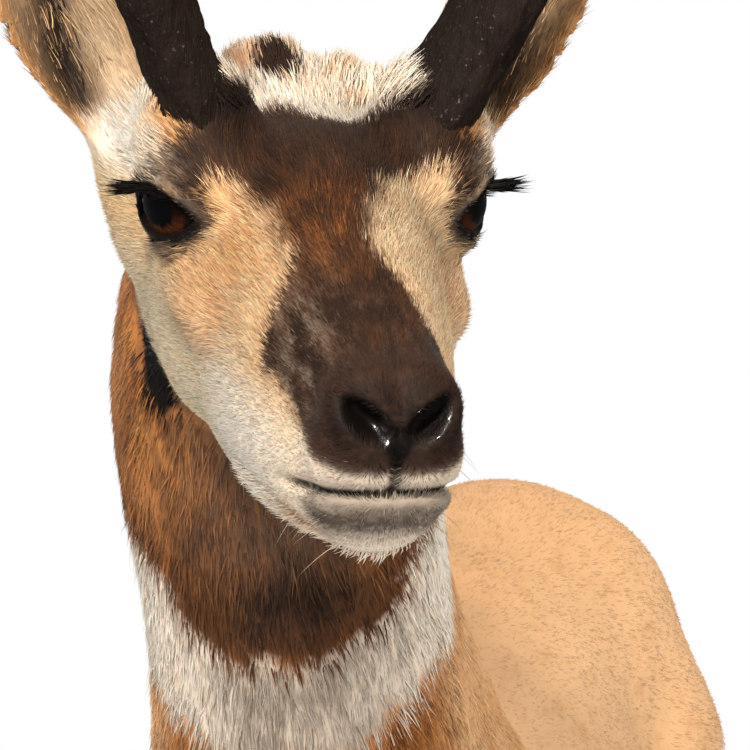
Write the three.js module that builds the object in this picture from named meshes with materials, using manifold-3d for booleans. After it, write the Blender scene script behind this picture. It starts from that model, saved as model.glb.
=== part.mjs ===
import * as THREE from 'three';
import { mergeVertices } from 'three/addons/utils/BufferGeometryUtils.js';
import Module from 'manifold-3d';

// A pronghorn buck at life size, standing with its head turned to its left.
// Millimetres, +Z up, the animal faces -Y and its left side is on +X.

const wasm = await Module();
wasm.setup();

// Driving dimensions
const seam = 0.3;
const bodyStep = 7;
const headStep = 3.2;
const bodyTriangles = 4300;
const headTriangles = 3500;

const headPose = { at: [80, -600, 1190], turn: 24.11, tip: 19.5, roll: 1.2 };

// The head's outline along its length: forward, top, bottom, half width, lean of the sides.
const headLine = {
  f: [-100, -70, -30, 10, 50, 90, 125, 152, 172, 184],
  top: [4, 20, 34, 45, 43, 35, 29, 24, 17, 3],
  bottom: [-30, -70, -91, -98, -99, -91, -80, -68, -56, -34],
  wide: [32, 48, 55, 57, 52, 46, 39, 33, 27, 18],
  lean: [0, 0, 0.02, -0.02, -0.12, -0.16, -0.14, -0.1, -0.05, 0],
};

// Head forms: place, radii, tip and turn in degrees, and how softly each blends in.
const headForms = {
  skull: { at: [0, -62, 0], radii: [46, 44, 40], blend: 22 },
  brow: { at: [46, 3, 20], radii: [29, 36, 29], blend: 14 },
  hornRoot: { at: [49, -12, 40], radii: [24, 32, 22], blend: 14 },
  cheekBone: { at: [45, 14, -24], radii: [17, 46, 14], tip: -4, turn: -8, blend: 18 },
  cheek: { at: [39, -14, -50], radii: [22, 48, 42], tip: 16, blend: 18 },
  earBase: { at: [56, -46, -8], radii: [25, 30, 46], blend: 18 },
  nostrilWing: { at: [12, 164, 5], radii: [13, 19, 14], blend: 13 },
  upperLip: { at: [14, 161, -17], radii: [15, 20, 13], blend: 8 },
  chin: { at: [0, 151, -47], radii: [21, 24, 20], blend: 8 },
};

const eyeForm = { at: [48, 5, 10.5], radius: 24, outward: 57, bulge: 1.4, slant: -10 };
const lidForm = { shell: 1.8, long: 17, high: 8.6, corner: 1.6, behind: 1.2 };
const nostril = { at: [12, 179, 4], reach: 7.5, depth: 9 };
const mouthLine = { back: [29, 138, -45], front: [0, 182, -26], width: 2.8, depth: 4.5 };

const earForm = {
  at: [66, -58, 12], length: 150, wide: 33, cup: 26, thick: 7, root: 24, cutAt: 14,
};
const earPose = {
  left: { out: 28, back: 18, facing: 10 },
  right: { out: 26, back: 20, facing: 0 },
};

// Each horn is a flat blade with one prong forward and a tip hooked back and inward.
const hornForm = {
  path: [
    [48, -10, 40], [58, -13, 62], [79, -18, 105], [100, -22, 160],
    [112, -36, 225], [108, -66, 285], [96, -98, 318],
  ],
  deep: [31, 28, 26, 27, 16, 11, 3],
  wide: [17.5, 15.5, 14.5, 12.5, 11.5, 9.5, 3],
  prong: [[97, -14, 150], [101, 14, 170], [104, 34, 190], [106, 50, 210]],
  prongWide: [14, 12, 8, 2.5],
  lean: 0.06,
};

const neckForm = {
  base: [20, -270, 740], baseWay: [0.25, -0.75, 0.62],
  top: [0, -66, -26], topWay: [0, -0.55, -0.83], pull: 140,
  t: [0, 0.25, 0.5, 0.75, 1], wide: [112, 94, 74, 73, 44], deep: [168, 132, 102, 88, 58],
  stations: 13,
};

const torsoForms = [
  { at: [0, -120, 684], radii: [132, 285, 208], blend: 1 },
  { at: [0, -225, 800], radii: [56, 150, 95], tip: -8, blend: 60 },
  { at: [0, 120, 770], radii: [108, 260, 119], blend: 50 },
  { at: [0, 70, 682], radii: [140, 235, 165], tip: -5, blend: 40 },
  { at: [0, 285, 775], radii: [122, 165, 120], tip: -6, blend: 50 },
  { at: [66, 300, 690], radii: [72, 128, 165], tip: 10, blend: 40 },
  { at: [80, -280, 690], radii: [54, 96, 172], tip: 20, blend: 36 },
  { at: [0, -330, 640], radii: [92, 108, 135], blend: 50 },
];

// Limb chains from the body down: x, y, z, radius.
const foreLimb = [
  [100, -345, 640, 58], [98, -285, 550, 48], [96, -300, 500, 41], [92, -305, 420, 29],
  [89, -305, 345, 22], [88, -306, 315, 24], [87, -303, 285, 18], [86, -300, 215, 15],
  [85, -298, 140, 16.5], [85, -300, 108, 20], [85, -318, 72, 17], [85, -334, 46, 19],
];
const hindLimb = [
  [84, 300, 700, 80], [112, 215, 590, 62], [110, 265, 490, 43], [100, 335, 405, 28],
  [94, 378, 362, 25], [92, 380, 320, 20], [90, 374, 230, 17], [89, 368, 145, 18],
  [89, 368, 112, 21], [89, 350, 74, 18], [89, 334, 46, 20],
];
const hock = [[100, 330, 420, 20], [94, 408, 388, 14], [93, 396, 350, 15]];
const tailLine = [[0, 420, 800, 24], [0, 456, 768, 21], [0, 474, 700, 15]];
const stance = { frontLeft: -12, frontRight: 22, backLeft: 34, backRight: -40, swing: 620 };

const hoofForm = { length: 62, top: 44, wide: 19, apart: 1.6, high: 38, slope: 0.5 };

const headSeam = { corner: [0, -53, -122], front: [0, 0.963, 0.27] };

const maneForm = { rows: 9, across: 3, from: 0.88, to: 0.42, length: 72, wide: 32, thick: 7, spread: 32 };
const crestForm = { count: 7, length: 34, wide: 17, thick: 6 };
const tailLocks = { count: 9, length: 58, wide: 19, thick: 6 };

const colours = {
  coat: '#b98a5c', face: '#5b4030', neck: '#7a4b2a', leg: '#bf976a',
  tail: '#a8794f', ear: '#c7a27c', horn: '#1f1b1a', hoof: '#1c1a19', eye: '#1b110d',
};

// Small vector helpers
const rad = THREE.MathUtils.degToRad;
const vec = (a) => new THREE.Vector3(a[0], a[1], a[2]);
const mix = (a, b, t) => a + (b - a) * t;
const clamp = (v, lo, hi) => Math.min(Math.max(v, lo), hi);

// A repeatable random number between 0 and 1.
function seeded(seed) {
  let state = seed;
  return () => {
    state = (state * 1664525 + 1013904223) % 4294967296;
    return state / 4294967296;
  };
}

// A smooth curve through the points (xs, ys), level beyond its ends.
function smoothCurve(xs, ys) {
  const n = xs.length;
  const slope = xs.map((x, i) => {
    if (i === 0) {
      return (ys[1] - ys[0]) / (xs[1] - xs[0]);
    }
    if (i === n - 1) {
      return (ys[n - 1] - ys[n - 2]) / (xs[n - 1] - xs[n - 2]);
    }
    const before = xs[i] - xs[i - 1];
    const after = xs[i + 1] - xs[i];
    const left = (ys[i] - ys[i - 1]) / before;
    const right = (ys[i + 1] - ys[i]) / after;
    return (left * after + right * before) / (before + after);
  });
  return (x) => {
    const at = clamp(x, xs[0], xs[n - 1]);
    let i = 0;
    while (i < n - 2 && at > xs[i + 1]) {
      i += 1;
    }
    const h = xs[i + 1] - xs[i];
    const t = (at - xs[i]) / h;
    const t2 = t * t;
    const t3 = t2 * t;
    return (2 * t3 - 3 * t2 + 1) * ys[i] + (t3 - 2 * t2 + t) * h * slope[i]
      + (3 * t2 - 2 * t3) * ys[i + 1] + (t3 - t2) * h * slope[i + 1];
  };
}

// Distances are negative inside. join blends two forms over a width k.
function join(a, b, k) {
  const h = Math.max(k - Math.abs(a - b), 0) / k;
  return Math.min(a, b) - h * h * k * 0.25;
}

function carve(a, b, k) {
  return -join(-a, -b, k);
}

// An ellipsoid's distance; tip lowers its front, turn swings it about the up axis.
function ellipsoidField({ at, radii, tip = 0, turn = 0 }) {
  const ct = Math.cos(rad(turn));
  const st = Math.sin(rad(turn));
  const cp = Math.cos(rad(tip));
  const sp = Math.sin(rad(tip));
  return (px, py, pz) => {
    const x0 = px - at[0];
    const y0 = py - at[1];
    const z0 = pz - at[2];
    const x = ct * x0 + st * y0;
    const y1 = ct * y0 - st * x0;
    const y = cp * y1 - sp * z0;
    const z = sp * y1 + cp * z0;
    const ax = x / radii[0];
    const ay = y / radii[1];
    const az = z / radii[2];
    const k0 = Math.sqrt(ax * ax + ay * ay + az * az);
    const bx = ax / radii[0];
    const by = ay / radii[1];
    const bz = az / radii[2];
    const k1 = Math.sqrt(bx * bx + by * by + bz * bz);
    return k0 * (k0 - 1) / Math.max(k1, 1e-9);
  };
}

// A rounded cone between two balls given as x, y, z, radius.
function coneField(a, b) {
  const dx = b[0] - a[0];
  const dy = b[1] - a[1];
  const dz = b[2] - a[2];
  const length2 = dx * dx + dy * dy + dz * dz;
  return (x, y, z) => {
    const t = clamp(((x - a[0]) * dx + (y - a[1]) * dy + (z - a[2]) * dz) / length2, 0, 1);
    const ex = x - a[0] - t * dx;
    const ey = y - a[1] - t * dy;
    const ez = z - a[2] - t * dz;
    return Math.sqrt(ex * ex + ey * ey + ez * ez) - mix(a[3], b[3], t);
  };
}

function chainField(balls, blend) {
  const cones = balls.slice(1).map((ball, i) => coneField(balls[i], ball));
  return (x, y, z) => {
    let d = cones[0](x, y, z);
    for (let i = 1; i < cones.length; i += 1) {
      d = join(d, cones[i](x, y, z), blend);
    }
    return d;
  };
}

// Skips a form's own sum far from it, where the distance to its bounding ball will do.
function bounded(centre, reach, field) {
  return (x, y, z) => {
    const far = Math.hypot(x - centre[0], y - centre[1], z - centre[2]) - reach;
    return far > 60 ? far + 30 : field(x, y, z);
  };
}

// The head's own axes: side to its left, front towards the nose, up towards the crown.
const headTurn = new THREE.Matrix4().makeRotationZ(rad(headPose.turn))
  .multiply(new THREE.Matrix4().makeRotationX(rad(headPose.tip)))
  .multiply(new THREE.Matrix4().makeRotationY(rad(headPose.roll)));
const headSide = vec([1, 0, 0]).transformDirection(headTurn);
const headFront = vec([0, -1, 0]).transformDirection(headTurn);
const headUp = vec([0, 0, 1]).transformDirection(headTurn);
const headPlace = new THREE.Matrix4()
  .makeBasis(headSide, headFront.clone().negate(), headUp)
  .setPosition(...headPose.at);

// A point of the head frame (side, front, up) in the animal's frame.
function fromHead([s, f, u]) {
  return vec(headPose.at).addScaledVector(headSide, s).addScaledVector(headFront, f)
    .addScaledVector(headUp, u);
}

function headWay([s, f, u]) {
  return new THREE.Vector3().addScaledVector(headSide, s).addScaledVector(headFront, f)
    .addScaledVector(headUp, u).normalize();
}

function headCore() {
  const top = smoothCurve(headLine.f, headLine.top);
  const bottom = smoothCurve(headLine.f, headLine.bottom);
  const wide = smoothCurve(headLine.f, headLine.wide);
  const lean = smoothCurve(headLine.f, headLine.lean);
  const last = headLine.f.length - 1;
  const n = 2.35;
  return (s, f, u) => {
    const high = top(f);
    const low = bottom(f);
    const half = (high - low) / 2;
    const t = (u - (high + low) / 2) / half;
    const side = wide(f) * (1 + lean(f) * clamp(t, -1.2, 1.2));
    const g = Math.pow(Math.pow(s / side, n) + Math.pow(Math.abs(t), n), 1 / n) - 1;
    const end = Math.max(f - headLine.f[last], headLine.f[0] - f);
    return carve(g * Math.min(side, half), end, 10);
  };
}

// The eye looks out and forward; its opening between the lids is a slanted oval.
function eyeAxes() {
  const a = rad(eyeForm.outward);
  const out = vec([Math.sin(a), Math.cos(a), 0.02]).normalize();
  const level = vec([-Math.cos(a), Math.sin(a), 0]);
  const along = level.applyAxisAngle(out, rad(-eyeForm.slant)).normalize();
  return { out, along, over: new THREE.Vector3().crossVectors(along, out) };
}

// The lids close over the ball and leave an almond opening in front of it.
function lidField() {
  const { out, along, over } = eyeAxes();
  const { shell, long, high, corner, behind } = lidForm;
  return (s, f, u) => {
    const x = s - eyeForm.at[0];
    const y = f - eyeForm.at[1];
    const z = u - eyeForm.at[2];
    const ball = Math.hypot(x, y, z) - eyeForm.radius;
    const a = x * out.x + y * out.y + z * out.z;
    const b = Math.abs(x * along.x + y * along.y + z * along.z) / long;
    const h = Math.abs(x * over.x + y * over.y + z * over.z) / high;
    const almond = (Math.pow(Math.pow(b, corner) + Math.pow(h, corner), 1 / corner) - 1) * high;
    return { cover: ball - shell, opening: Math.max(almond, 4 - a, -ball - behind) };
  };
}

// Nostril pits and the line of the mouth, as a depth taken off the muzzle.
function muzzleLines(s, f, u) {
  const n = Math.hypot(s - nostril.at[0], (f - nostril.at[1]) * 0.7, u - nostril.at[2]);
  const pit = nostril.depth * Math.exp(-Math.pow(n / nostril.reach, 2) * 1.4);
  const along = clamp((f - mouthLine.back[1]) / (mouthLine.front[1] - mouthLine.back[1]), -0.3, 1);
  const level = mix(mouthLine.back[2], mouthLine.front[2], along);
  const fade = clamp((f - mouthLine.back[1] + 8) / 14, 0, 1);
  const slit = mouthLine.depth * Math.exp(-Math.pow((u - level) / mouthLine.width, 2)) * fade;
  return pit + slit;
}

function headField() {
  const core = headCore();
  const forms = Object.values(headForms).map((form) => [ellipsoidField(form), form.blend]);
  const lids = lidField();
  return (s0, f, u) => {
    const s = Math.abs(s0);
    let d = core(s, f, u);
    for (const [field, blend] of forms) {
      d = join(d, field(s, f, u), blend);
    }
    const { cover, opening } = lids(s, f, u);
    d = carve(join(d, cover, 6), -opening, 1.5);
    return f > 110 ? d + muzzleLines(s, f, u) : d;
  };
}

// The ear's axes: across the cup, along to the tip, and out of its open side.
function earAxes({ out, back, facing }, side) {
  const o = rad(out);
  const b = rad(back);
  const along = vec([Math.sin(o) * side, -Math.sin(b) * Math.cos(o), Math.cos(b) * Math.cos(o)]);
  along.normalize();
  const open = vec([Math.sin(rad(facing)) * side, Math.cos(rad(facing)), 0]);
  open.addScaledVector(along, -open.dot(along)).normalize();
  return { across: new THREE.Vector3().crossVectors(along, open), along, open };
}

function earField(name, side) {
  const { across, along, open } = earAxes(earPose[name], side);
  const at = vec([earForm.at[0] * side, earForm.at[1], earForm.at[2]]);
  const width = smoothCurve([-0.1, 0, 0.12, 0.4, 0.7, 0.9, 1], [0.42, 0.5, 0.72, 1, 0.8, 0.42, 0.12]);
  const depth = smoothCurve([-0.1, 0, 0.2, 0.5, 1], [1, 1.1, 1.05, 0.8, 0.15]);
  const foot = at.clone().addScaledVector(along, -18);
  const neck = at.clone().addScaledVector(along, 16).addScaledVector(open, -7);
  const root = coneField([...foot, earForm.root], [...neck, earForm.root * 0.62]);
  return (s, f, u) => {
    const x = s - at.x;
    const y = f - at.y;
    const z = u - at.z;
    const a = x * across.x + y * across.y + z * across.z;
    const l = x * along.x + y * along.y + z * along.z;
    const d = x * open.x + y * open.y + z * open.z;
    const t = clamp(l / earForm.length, -0.1, 1);
    const w = earForm.wide * width(t);
    const cup = earForm.cup * depth(t);
    const v = clamp(a / w, -1.3, 1.3);
    const floor = cup * v * v - cup * 0.55 + 10 * t * t;
    const tilt = 2 * cup * v / w;
    const wall = earForm.thick / 2 * (1 - 0.35 * t);
    const sheet = Math.abs(d - floor) / Math.sqrt(1 + tilt * tilt) - wall;
    const rim = (Math.abs(a) - w) * 0.85;
    const end = Math.max(l - earForm.length, -10 - l);
    return join(carve(carve(sheet, rim, 4), end, 5), root(s, f, u), 14);
  };
}

// The neck's stations: centre, nape direction, half width and half depth.
function neckStations() {
  const base = vec(neckForm.base);
  const top = fromHead(neckForm.top);
  const start = vec(neckForm.baseWay).normalize();
  const end = headWay(neckForm.topWay);
  const curve = new THREE.CubicBezierCurve3(
    base,
    base.clone().addScaledVector(start, neckForm.pull),
    top.clone().addScaledVector(end, neckForm.pull),
    top,
  );
  const wide = smoothCurve(neckForm.t, neckForm.wide);
  const deep = smoothCurve(neckForm.t, neckForm.deep);
  const stations = [];
  for (let i = 0; i < neckForm.stations; i += 1) {
    const t = i / (neckForm.stations - 1);
    const way = curve.getTangent(t);
    const side = vec([1, 0, 0]).lerp(headSide, t);
    side.addScaledVector(way, -side.dot(way)).normalize();
    const nape = new THREE.Vector3().crossVectors(way, side);
    stations.push({ at: curve.getPoint(t), nape, side, way, wide: wide(t), deep: deep(t) });
  }
  return stations;
}

function neckField(stations) {
  const strands = [-1, 0, 1].map((k) => chainField(stations.map((station) => {
    const p = station.at.clone().addScaledVector(station.nape, k * (station.deep - station.wide));
    return [p.x, p.y, p.z, station.wide];
  }), 20));
  return (x, y, z) => {
    let d = strands[0](x, y, z);
    d = join(d, strands[1](x, y, z), 14);
    return join(d, strands[2](x, y, z), 14);
  };
}

// The foot is stepped forward or back, and the joints above it follow in part.
function stepped(balls, side, step) {
  return balls.map(([x, y, z, r]) => [x * side, y + step * clamp(1 - z / stance.swing, 0, 1), z, r]);
}

function torsoField() {
  const forms = torsoForms.map((form) => [ellipsoidField(form), form.blend]);
  return (x0, y, z) => {
    const x = Math.abs(x0);
    let d = forms[0][0](x, y, z);
    for (let i = 1; i < forms.length; i += 1) {
      d = join(d, forms[i][0](x, y, z), forms[i][1]);
    }
    return d;
  };
}

function legFields() {
  const fore = (side, step) => chainField(stepped(foreLimb, side, step), 8);
  const hind = (side, step) => {
    const limb = chainField(stepped(hindLimb, side, step), 14);
    const heel = chainField(stepped(hock, side, step), 6);
    return (x, y, z) => join(limb(x, y, z), heel(x, y, z), 14);
  };
  return [
    bounded([95, -310, 330], 420, fore(1, stance.frontLeft)),
    bounded([-95, -310, 330], 420, fore(-1, stance.frontRight)),
    bounded([95, 310, 370], 450, hind(1, stance.backLeft)),
    bounded([-95, 310, 370], 450, hind(-1, stance.backRight)),
  ];
}

// The whole living surface, coat included, as one distance field.
function animalField(stations) {
  const torso = bounded([0, 0, 700], 560, torsoField());
  const legs = legFields();
  const tail = bounded([0, 440, 750], 120, chainField(tailLine, 10));
  const middle = stations[Math.floor(stations.length / 3)].at;
  const neck = bounded([middle.x, middle.y, middle.z], 420, neckField(stations));
  const head = headField();
  const ears = [earField('left', 1), earField('right', -1)];
  const inHead = (s, f, u) => {
    let d = head(s, f, u);
    d = join(d, ears[0](s, f, u), 10);
    return join(d, ears[1](s, f, u), 10);
  };
  const skull = bounded([0, 20, 10], 235, inHead);
  return (x, y, z) => {
    let d = torso(x, y, z);
    for (const leg of legs) {
      d = join(d, leg(x, y, z), 40);
    }
    d = join(d, tail(x, y, z), 20);
    d = join(d, neck(x, y, z), 45);
    const dx = x - headPose.at[0];
    const dy = y - headPose.at[1];
    const dz = z - headPose.at[2];
    const s = dx * headSide.x + dy * headSide.y + dz * headSide.z;
    const f = dx * headFront.x + dy * headFront.y + dz * headFront.z;
    const u = dx * headUp.x + dy * headUp.y + dz * headUp.z;
    return join(d, skull(s, f, u), 22);
  };
}

// Samples a field on a grid over a box, leaving blocks far from the surface at one value.
function sampleField(field, low, counts, step) {
  const [nx, ny, nz] = counts;
  const values = new Float32Array(nx * ny * nz);
  const block = 6;
  const near = block * step * 1.6;
  for (let k = 0; k < nz; k += block) {
    for (let j = 0; j < ny; j += block) {
      for (let i = 0; i < nx; i += block) {
        const half = (block - 1) / 2;
        const middle = field(
          low[0] + (i + half) * step, low[1] + (j + half) * step, low[2] + (k + half) * step,
        );
        const far = Math.abs(middle) > near;
        for (let c = k; c < Math.min(k + block, nz); c += 1) {
          for (let b = j; b < Math.min(j + block, ny); b += 1) {
            for (let a = i; a < Math.min(i + block, nx); a += 1) {
              const at = a + nx * (b + ny * c);
              const edge = Math.min(a, b, c, nx - 1 - a, ny - 1 - b, nz - 1 - c) < 1;
              const value = far ? middle
                : field(low[0] + a * step, low[1] + b * step, low[2] + c * step);
              values[at] = edge ? Math.max(value, step) : value;
            }
          }
        }
      }
    }
  }
  return values;
}

// Two sheets that would meet along one edge are told apart by moving the nearest sample.
function partSheets(values, counts) {
  const [nx, ny, nz] = counts;
  const stride = [1, nx, nx * ny];
  let moved = true;
  for (let pass = 0; moved && pass < 20; pass += 1) {
    moved = false;
    for (let at = 0; at < nx * ny * (nz - 1) - nx; at += 1) {
      for (let m = 0; m < 3; m += 1) {
        const b = at + stride[(m + 1) % 3];
        const c = at + stride[(m + 2) % 3];
        const d = b + c - at;
        const in0 = values[at] < 0;
        if (in0 !== (values[b] < 0) && in0 !== (values[c] < 0) && in0 === (values[d] < 0)) {
          const four = [at, b, c, d].sort((p, q) => Math.abs(values[p]) - Math.abs(values[q]));
          values[four[0]] = values[four[0]] < 0 ? 0.02 : -0.02;
          moved = true;
        }
      }
    }
  }
}

// A closed surface where the field crosses zero: one point in each cell that it passes.
function surfaceOf(field, low, high, step) {
  const counts = low.map((v, i) => Math.ceil((high[i] - v) / step) + 1);
  const [nx, ny, nz] = counts;
  const values = sampleField(field, low, counts, step);
  partSheets(values, counts);
  const stride = [1, nx, nx * ny];
  const pointOf = new Int32Array(nx * ny * nz).fill(-1);
  const points = [];
  const corners = [];
  for (let n = 0; n < 8; n += 1) {
    corners.push([n & 1, (n >> 1) & 1, (n >> 2) & 1]);
  }
  const edges = [];
  for (let a = 0; a < 8; a += 1) {
    for (const bit of [1, 2, 4]) {
      if (!(a & bit)) {
        edges.push([a, a | bit]);
      }
    }
  }
  for (let k = 0; k < nz - 1; k += 1) {
    for (let j = 0; j < ny - 1; j += 1) {
      for (let i = 0; i < nx - 1; i += 1) {
        const at = i + nx * (j + ny * k);
        const v = corners.map(([a, b, c]) => values[at + a + nx * (b + ny * c)]);
        const inside = v.filter((d) => d < 0).length;
        if (inside === 0 || inside === 8) {
          continue;
        }
        let count = 0;
        const sum = [0, 0, 0];
        for (const [a, b] of edges) {
          if ((v[a] < 0) !== (v[b] < 0)) {
            const t = v[a] / (v[a] - v[b]);
            for (let m = 0; m < 3; m += 1) {
              sum[m] += mix(corners[a][m], corners[b][m], t);
            }
            count += 1;
          }
        }
        pointOf[at] = points.length / 3;
        points.push(
          low[0] + (i + sum[0] / count) * step,
          low[1] + (j + sum[1] / count) * step,
          low[2] + (k + sum[2] / count) * step,
        );
      }
    }
  }
  const triangles = [];
  for (let k = 0; k < nz - 1; k += 1) {
    for (let j = 0; j < ny - 1; j += 1) {
      for (let i = 0; i < nx - 1; i += 1) {
        const at = i + nx * (j + ny * k);
        const here = values[at] < 0;
        const node = [i, j, k];
        for (let m = 0; m < 3; m += 1) {
          const clear = node[(m + 1) % 3] > 0 && node[(m + 2) % 3] > 0;
          if (clear && here !== (values[at + stride[m]] < 0)) {
            const u = stride[(m + 1) % 3];
            const w = stride[(m + 2) % 3];
            const quad = [pointOf[at - u - w], pointOf[at - w], pointOf[at], pointOf[at - u]];
            if (!here) {
              quad.reverse();
            }
            triangles.push(quad[0], quad[1], quad[2], quad[0], quad[2], quad[3]);
          }
        }
      }
    }
  }
  return { points, triangles };
}

// A heap of edges with the cheapest on top.
class EdgeHeap {
  constructor() {
    this.items = [];
  }

  push(item) {
    const list = this.items;
    list.push(item);
    let i = list.length - 1;
    while (i > 0) {
      const parent = (i - 1) >> 1;
      if (list[parent].cost <= list[i].cost) {
        break;
      }
      [list[parent], list[i]] = [list[i], list[parent]];
      i = parent;
    }
  }

  pop() {
    const list = this.items;
    const top = list[0];
    const last = list.pop();
    if (list.length > 0) {
      list[0] = last;
      let i = 0;
      for (;;) {
        let least = i;
        const left = 2 * i + 1;
        if (left < list.length && list[left].cost < list[least].cost) {
          least = left;
        }
        if (left + 1 < list.length && list[left + 1].cost < list[least].cost) {
          least = left + 1;
        }
        if (least === i) {
          break;
        }
        [list[least], list[i]] = [list[i], list[least]];
        i = least;
      }
    }
    return top;
  }
}

// A corner's error sum: how far a point lies from the planes that met there.
function planeSum(a, b, c) {
  const n = new THREE.Vector3().crossVectors(b.clone().sub(a), c.clone().sub(a));
  const area = n.length() / 2;
  if (area < 1e-9) {
    return new Float64Array(10);
  }
  n.normalize();
  const w = -n.dot(a);
  const q = [
    n.x * n.x, n.x * n.y, n.x * n.z, n.x * w, n.y * n.y,
    n.y * n.z, n.y * w, n.z * n.z, n.z * w, w * w,
  ];
  return Float64Array.from(q.map((value) => value * area));
}

function errorAt(q, p) {
  return q[0] * p.x * p.x + 2 * q[1] * p.x * p.y + 2 * q[2] * p.x * p.z + 2 * q[3] * p.x
    + q[4] * p.y * p.y + 2 * q[5] * p.y * p.z + 2 * q[6] * p.y
    + q[7] * p.z * p.z + 2 * q[8] * p.z + q[9];
}

// The point with the least error, or null where the planes are nearly parallel.
function bestPoint(q) {
  const m = new THREE.Matrix3().set(q[0], q[1], q[2], q[1], q[4], q[5], q[2], q[5], q[7]);
  const size = q[0] + q[4] + q[7];
  if (Math.abs(m.determinant()) < 1e-4 * size * size * size) {
    return null;
  }
  return new THREE.Vector3(-q[3], -q[6], -q[8]).applyMatrix3(m.invert());
}

// Merges the edges that change the shape least until few enough triangles are left.
function simplerSurface({ points, triangles }, target, care, joined = false) {
  const place = [];
  for (let i = 0; i < points.length; i += 3) {
    place.push(new THREE.Vector3(points[i], points[i + 1], points[i + 2]));
  }
  const faces = [];
  const around = place.map(() => new Set());
  const sums = place.map(() => new Float64Array(10));
  for (let i = 0; i < triangles.length; i += 3) {
    const face = [triangles[i], triangles[i + 1], triangles[i + 2]];
    const q = planeSum(...face.map((v) => place[v]));
    for (const v of face) {
      around[v].add(faces.length);
      for (let m = 0; m < 10; m += 1) {
        sums[v][m] += q[m] * care(place[v]);
      }
    }
    faces.push(face);
  }
  const stamp = new Int32Array(place.length);
  const heap = new EdgeHeap();
  const offer = (a, b) => {
    const q = sums[a].map((value, m) => value + sums[b][m]);
    const middle = place[a].clone().lerp(place[b], 0.5);
    const length = place[a].distanceTo(place[b]);
    const best = bestPoint(q);
    const spot = best && best.distanceTo(middle) < length ? best : middle;
    const cost = Math.max(errorAt(q, spot), 0) + 0.0004 * care(spot) * length * length;
    heap.push({ a, b, spot, cost, stampA: stamp[a], stampB: stamp[b] });
  };
  const neighbours = (v) => {
    const found = new Set();
    for (const f of around[v]) {
      faces[f].forEach((other) => found.add(other));
    }
    found.delete(v);
    return found;
  };
  faces.forEach((face) => {
    for (let m = 0; m < 3; m += 1) {
      const a = face[m];
      const b = face[(m + 1) % 3];
      if (a < b) {
        offer(a, b);
      }
    }
  });
  // True where moving corner v to the spot would fold or flatten a face round it.
  const folds = (v, other, spot) => {
    for (const f of around[v]) {
      const face = faces[f];
      if (face.includes(other)) {
        continue;
      }
      const now = face.map((c) => place[c]);
      const then = face.map((c) => (c === v ? spot : place[c]));
      const n0 = new THREE.Vector3().crossVectors(
        now[1].clone().sub(now[0]), now[2].clone().sub(now[0]),
      );
      const n1 = new THREE.Vector3().crossVectors(
        then[1].clone().sub(then[0]), then[2].clone().sub(then[0]),
      );
      const sliver = joined && n0.length() < 0.5;
      if (n1.length() < (joined ? 0.02 : 0.4)) {
        return true;
      }
      if (!sliver && n0.dot(n1) < 0.25 * n0.length() * n1.length()) {
        return true;
      }
    }
    return false;
  };
  let left = faces.length;
  while (left > target && heap.items.length > 0) {
    const { a, b, spot, stampA, stampB } = heap.pop();
    if (stamp[a] !== stampA || stamp[b] !== stampB) {
      continue;
    }
    const ringA = neighbours(a);
    const ringB = neighbours(b);
    const shared = [...ringA].filter((v) => ringB.has(v));
    if (shared.length !== 2 || folds(a, b, spot) || folds(b, a, spot)) {
      continue;
    }
    for (const f of [...around[b]]) {
      const face = faces[f];
      if (face.includes(a)) {
        face.forEach((v) => around[v].delete(f));
        faces[f] = null;
        left -= 1;
      } else {
        face[face.indexOf(b)] = a;
        around[a].add(f);
      }
    }
    around[b].clear();
    place[a] = spot;
    for (let m = 0; m < 10; m += 1) {
      sums[a][m] += sums[b][m];
    }
    stamp[a] += 1;
    stamp[b] = -1;
    for (const v of neighbours(a)) {
      offer(Math.min(a, v), Math.max(a, v));
    }
  }
  return { place, faces: faces.filter((face) => face) };
}

// Solids for joining and cutting
function solidFrom(place, faces) {
  const used = new Map();
  const numbers = [];
  const index = [];
  faces.forEach((face) => face.forEach((v) => {
    if (!used.has(v)) {
      used.set(v, used.size);
      numbers.push(place[v].x, place[v].y, place[v].z);
    }
    index.push(used.get(v));
  }));
  return new wasm.Manifold(new wasm.Mesh({
    numProp: 3,
    vertProperties: new Float32Array(numbers),
    triVerts: new Uint32Array(index),
  }));
}

function solidOf(geometry) {
  const plain = geometry.clone();
  plain.deleteAttribute('normal');
  plain.deleteAttribute('uv');
  const merged = mergeVertices(plain, 1e-3);
  return new wasm.Manifold(new wasm.Mesh({
    numProp: 3,
    vertProperties: new Float32Array(merged.attributes.position.array),
    triVerts: new Uint32Array(merged.index.array),
  }));
}

function geometryOf(solid) {
  const mesh = solid.getMesh();
  const geometry = new THREE.BufferGeometry();
  geometry.setAttribute('position', new THREE.BufferAttribute(mesh.vertProperties, 3));
  geometry.setIndex(new THREE.BufferAttribute(mesh.triVerts, 1));
  geometry.computeVertexNormals();
  return geometry;
}

// Only the largest closed surface of a solid, which also fills any sealed hollow.
function largest(solid) {
  const pieces = solidOf(geometryOf(solid)).decompose();
  return pieces.reduce((best, piece) => (piece.volume() > best.volume() ? piece : best));
}

// The same shape with its shortest edges merged, which takes out the slivers a join leaves.
function tidied(solid, share) {
  const { vertProperties, triVerts } = solid.getMesh();
  const mesh = { points: vertProperties, triangles: triVerts };
  const simple = simplerSurface(mesh, triVerts.length / 3 * share, () => 1, true);
  return solidFrom(simple.place, simple.faces);
}

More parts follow.
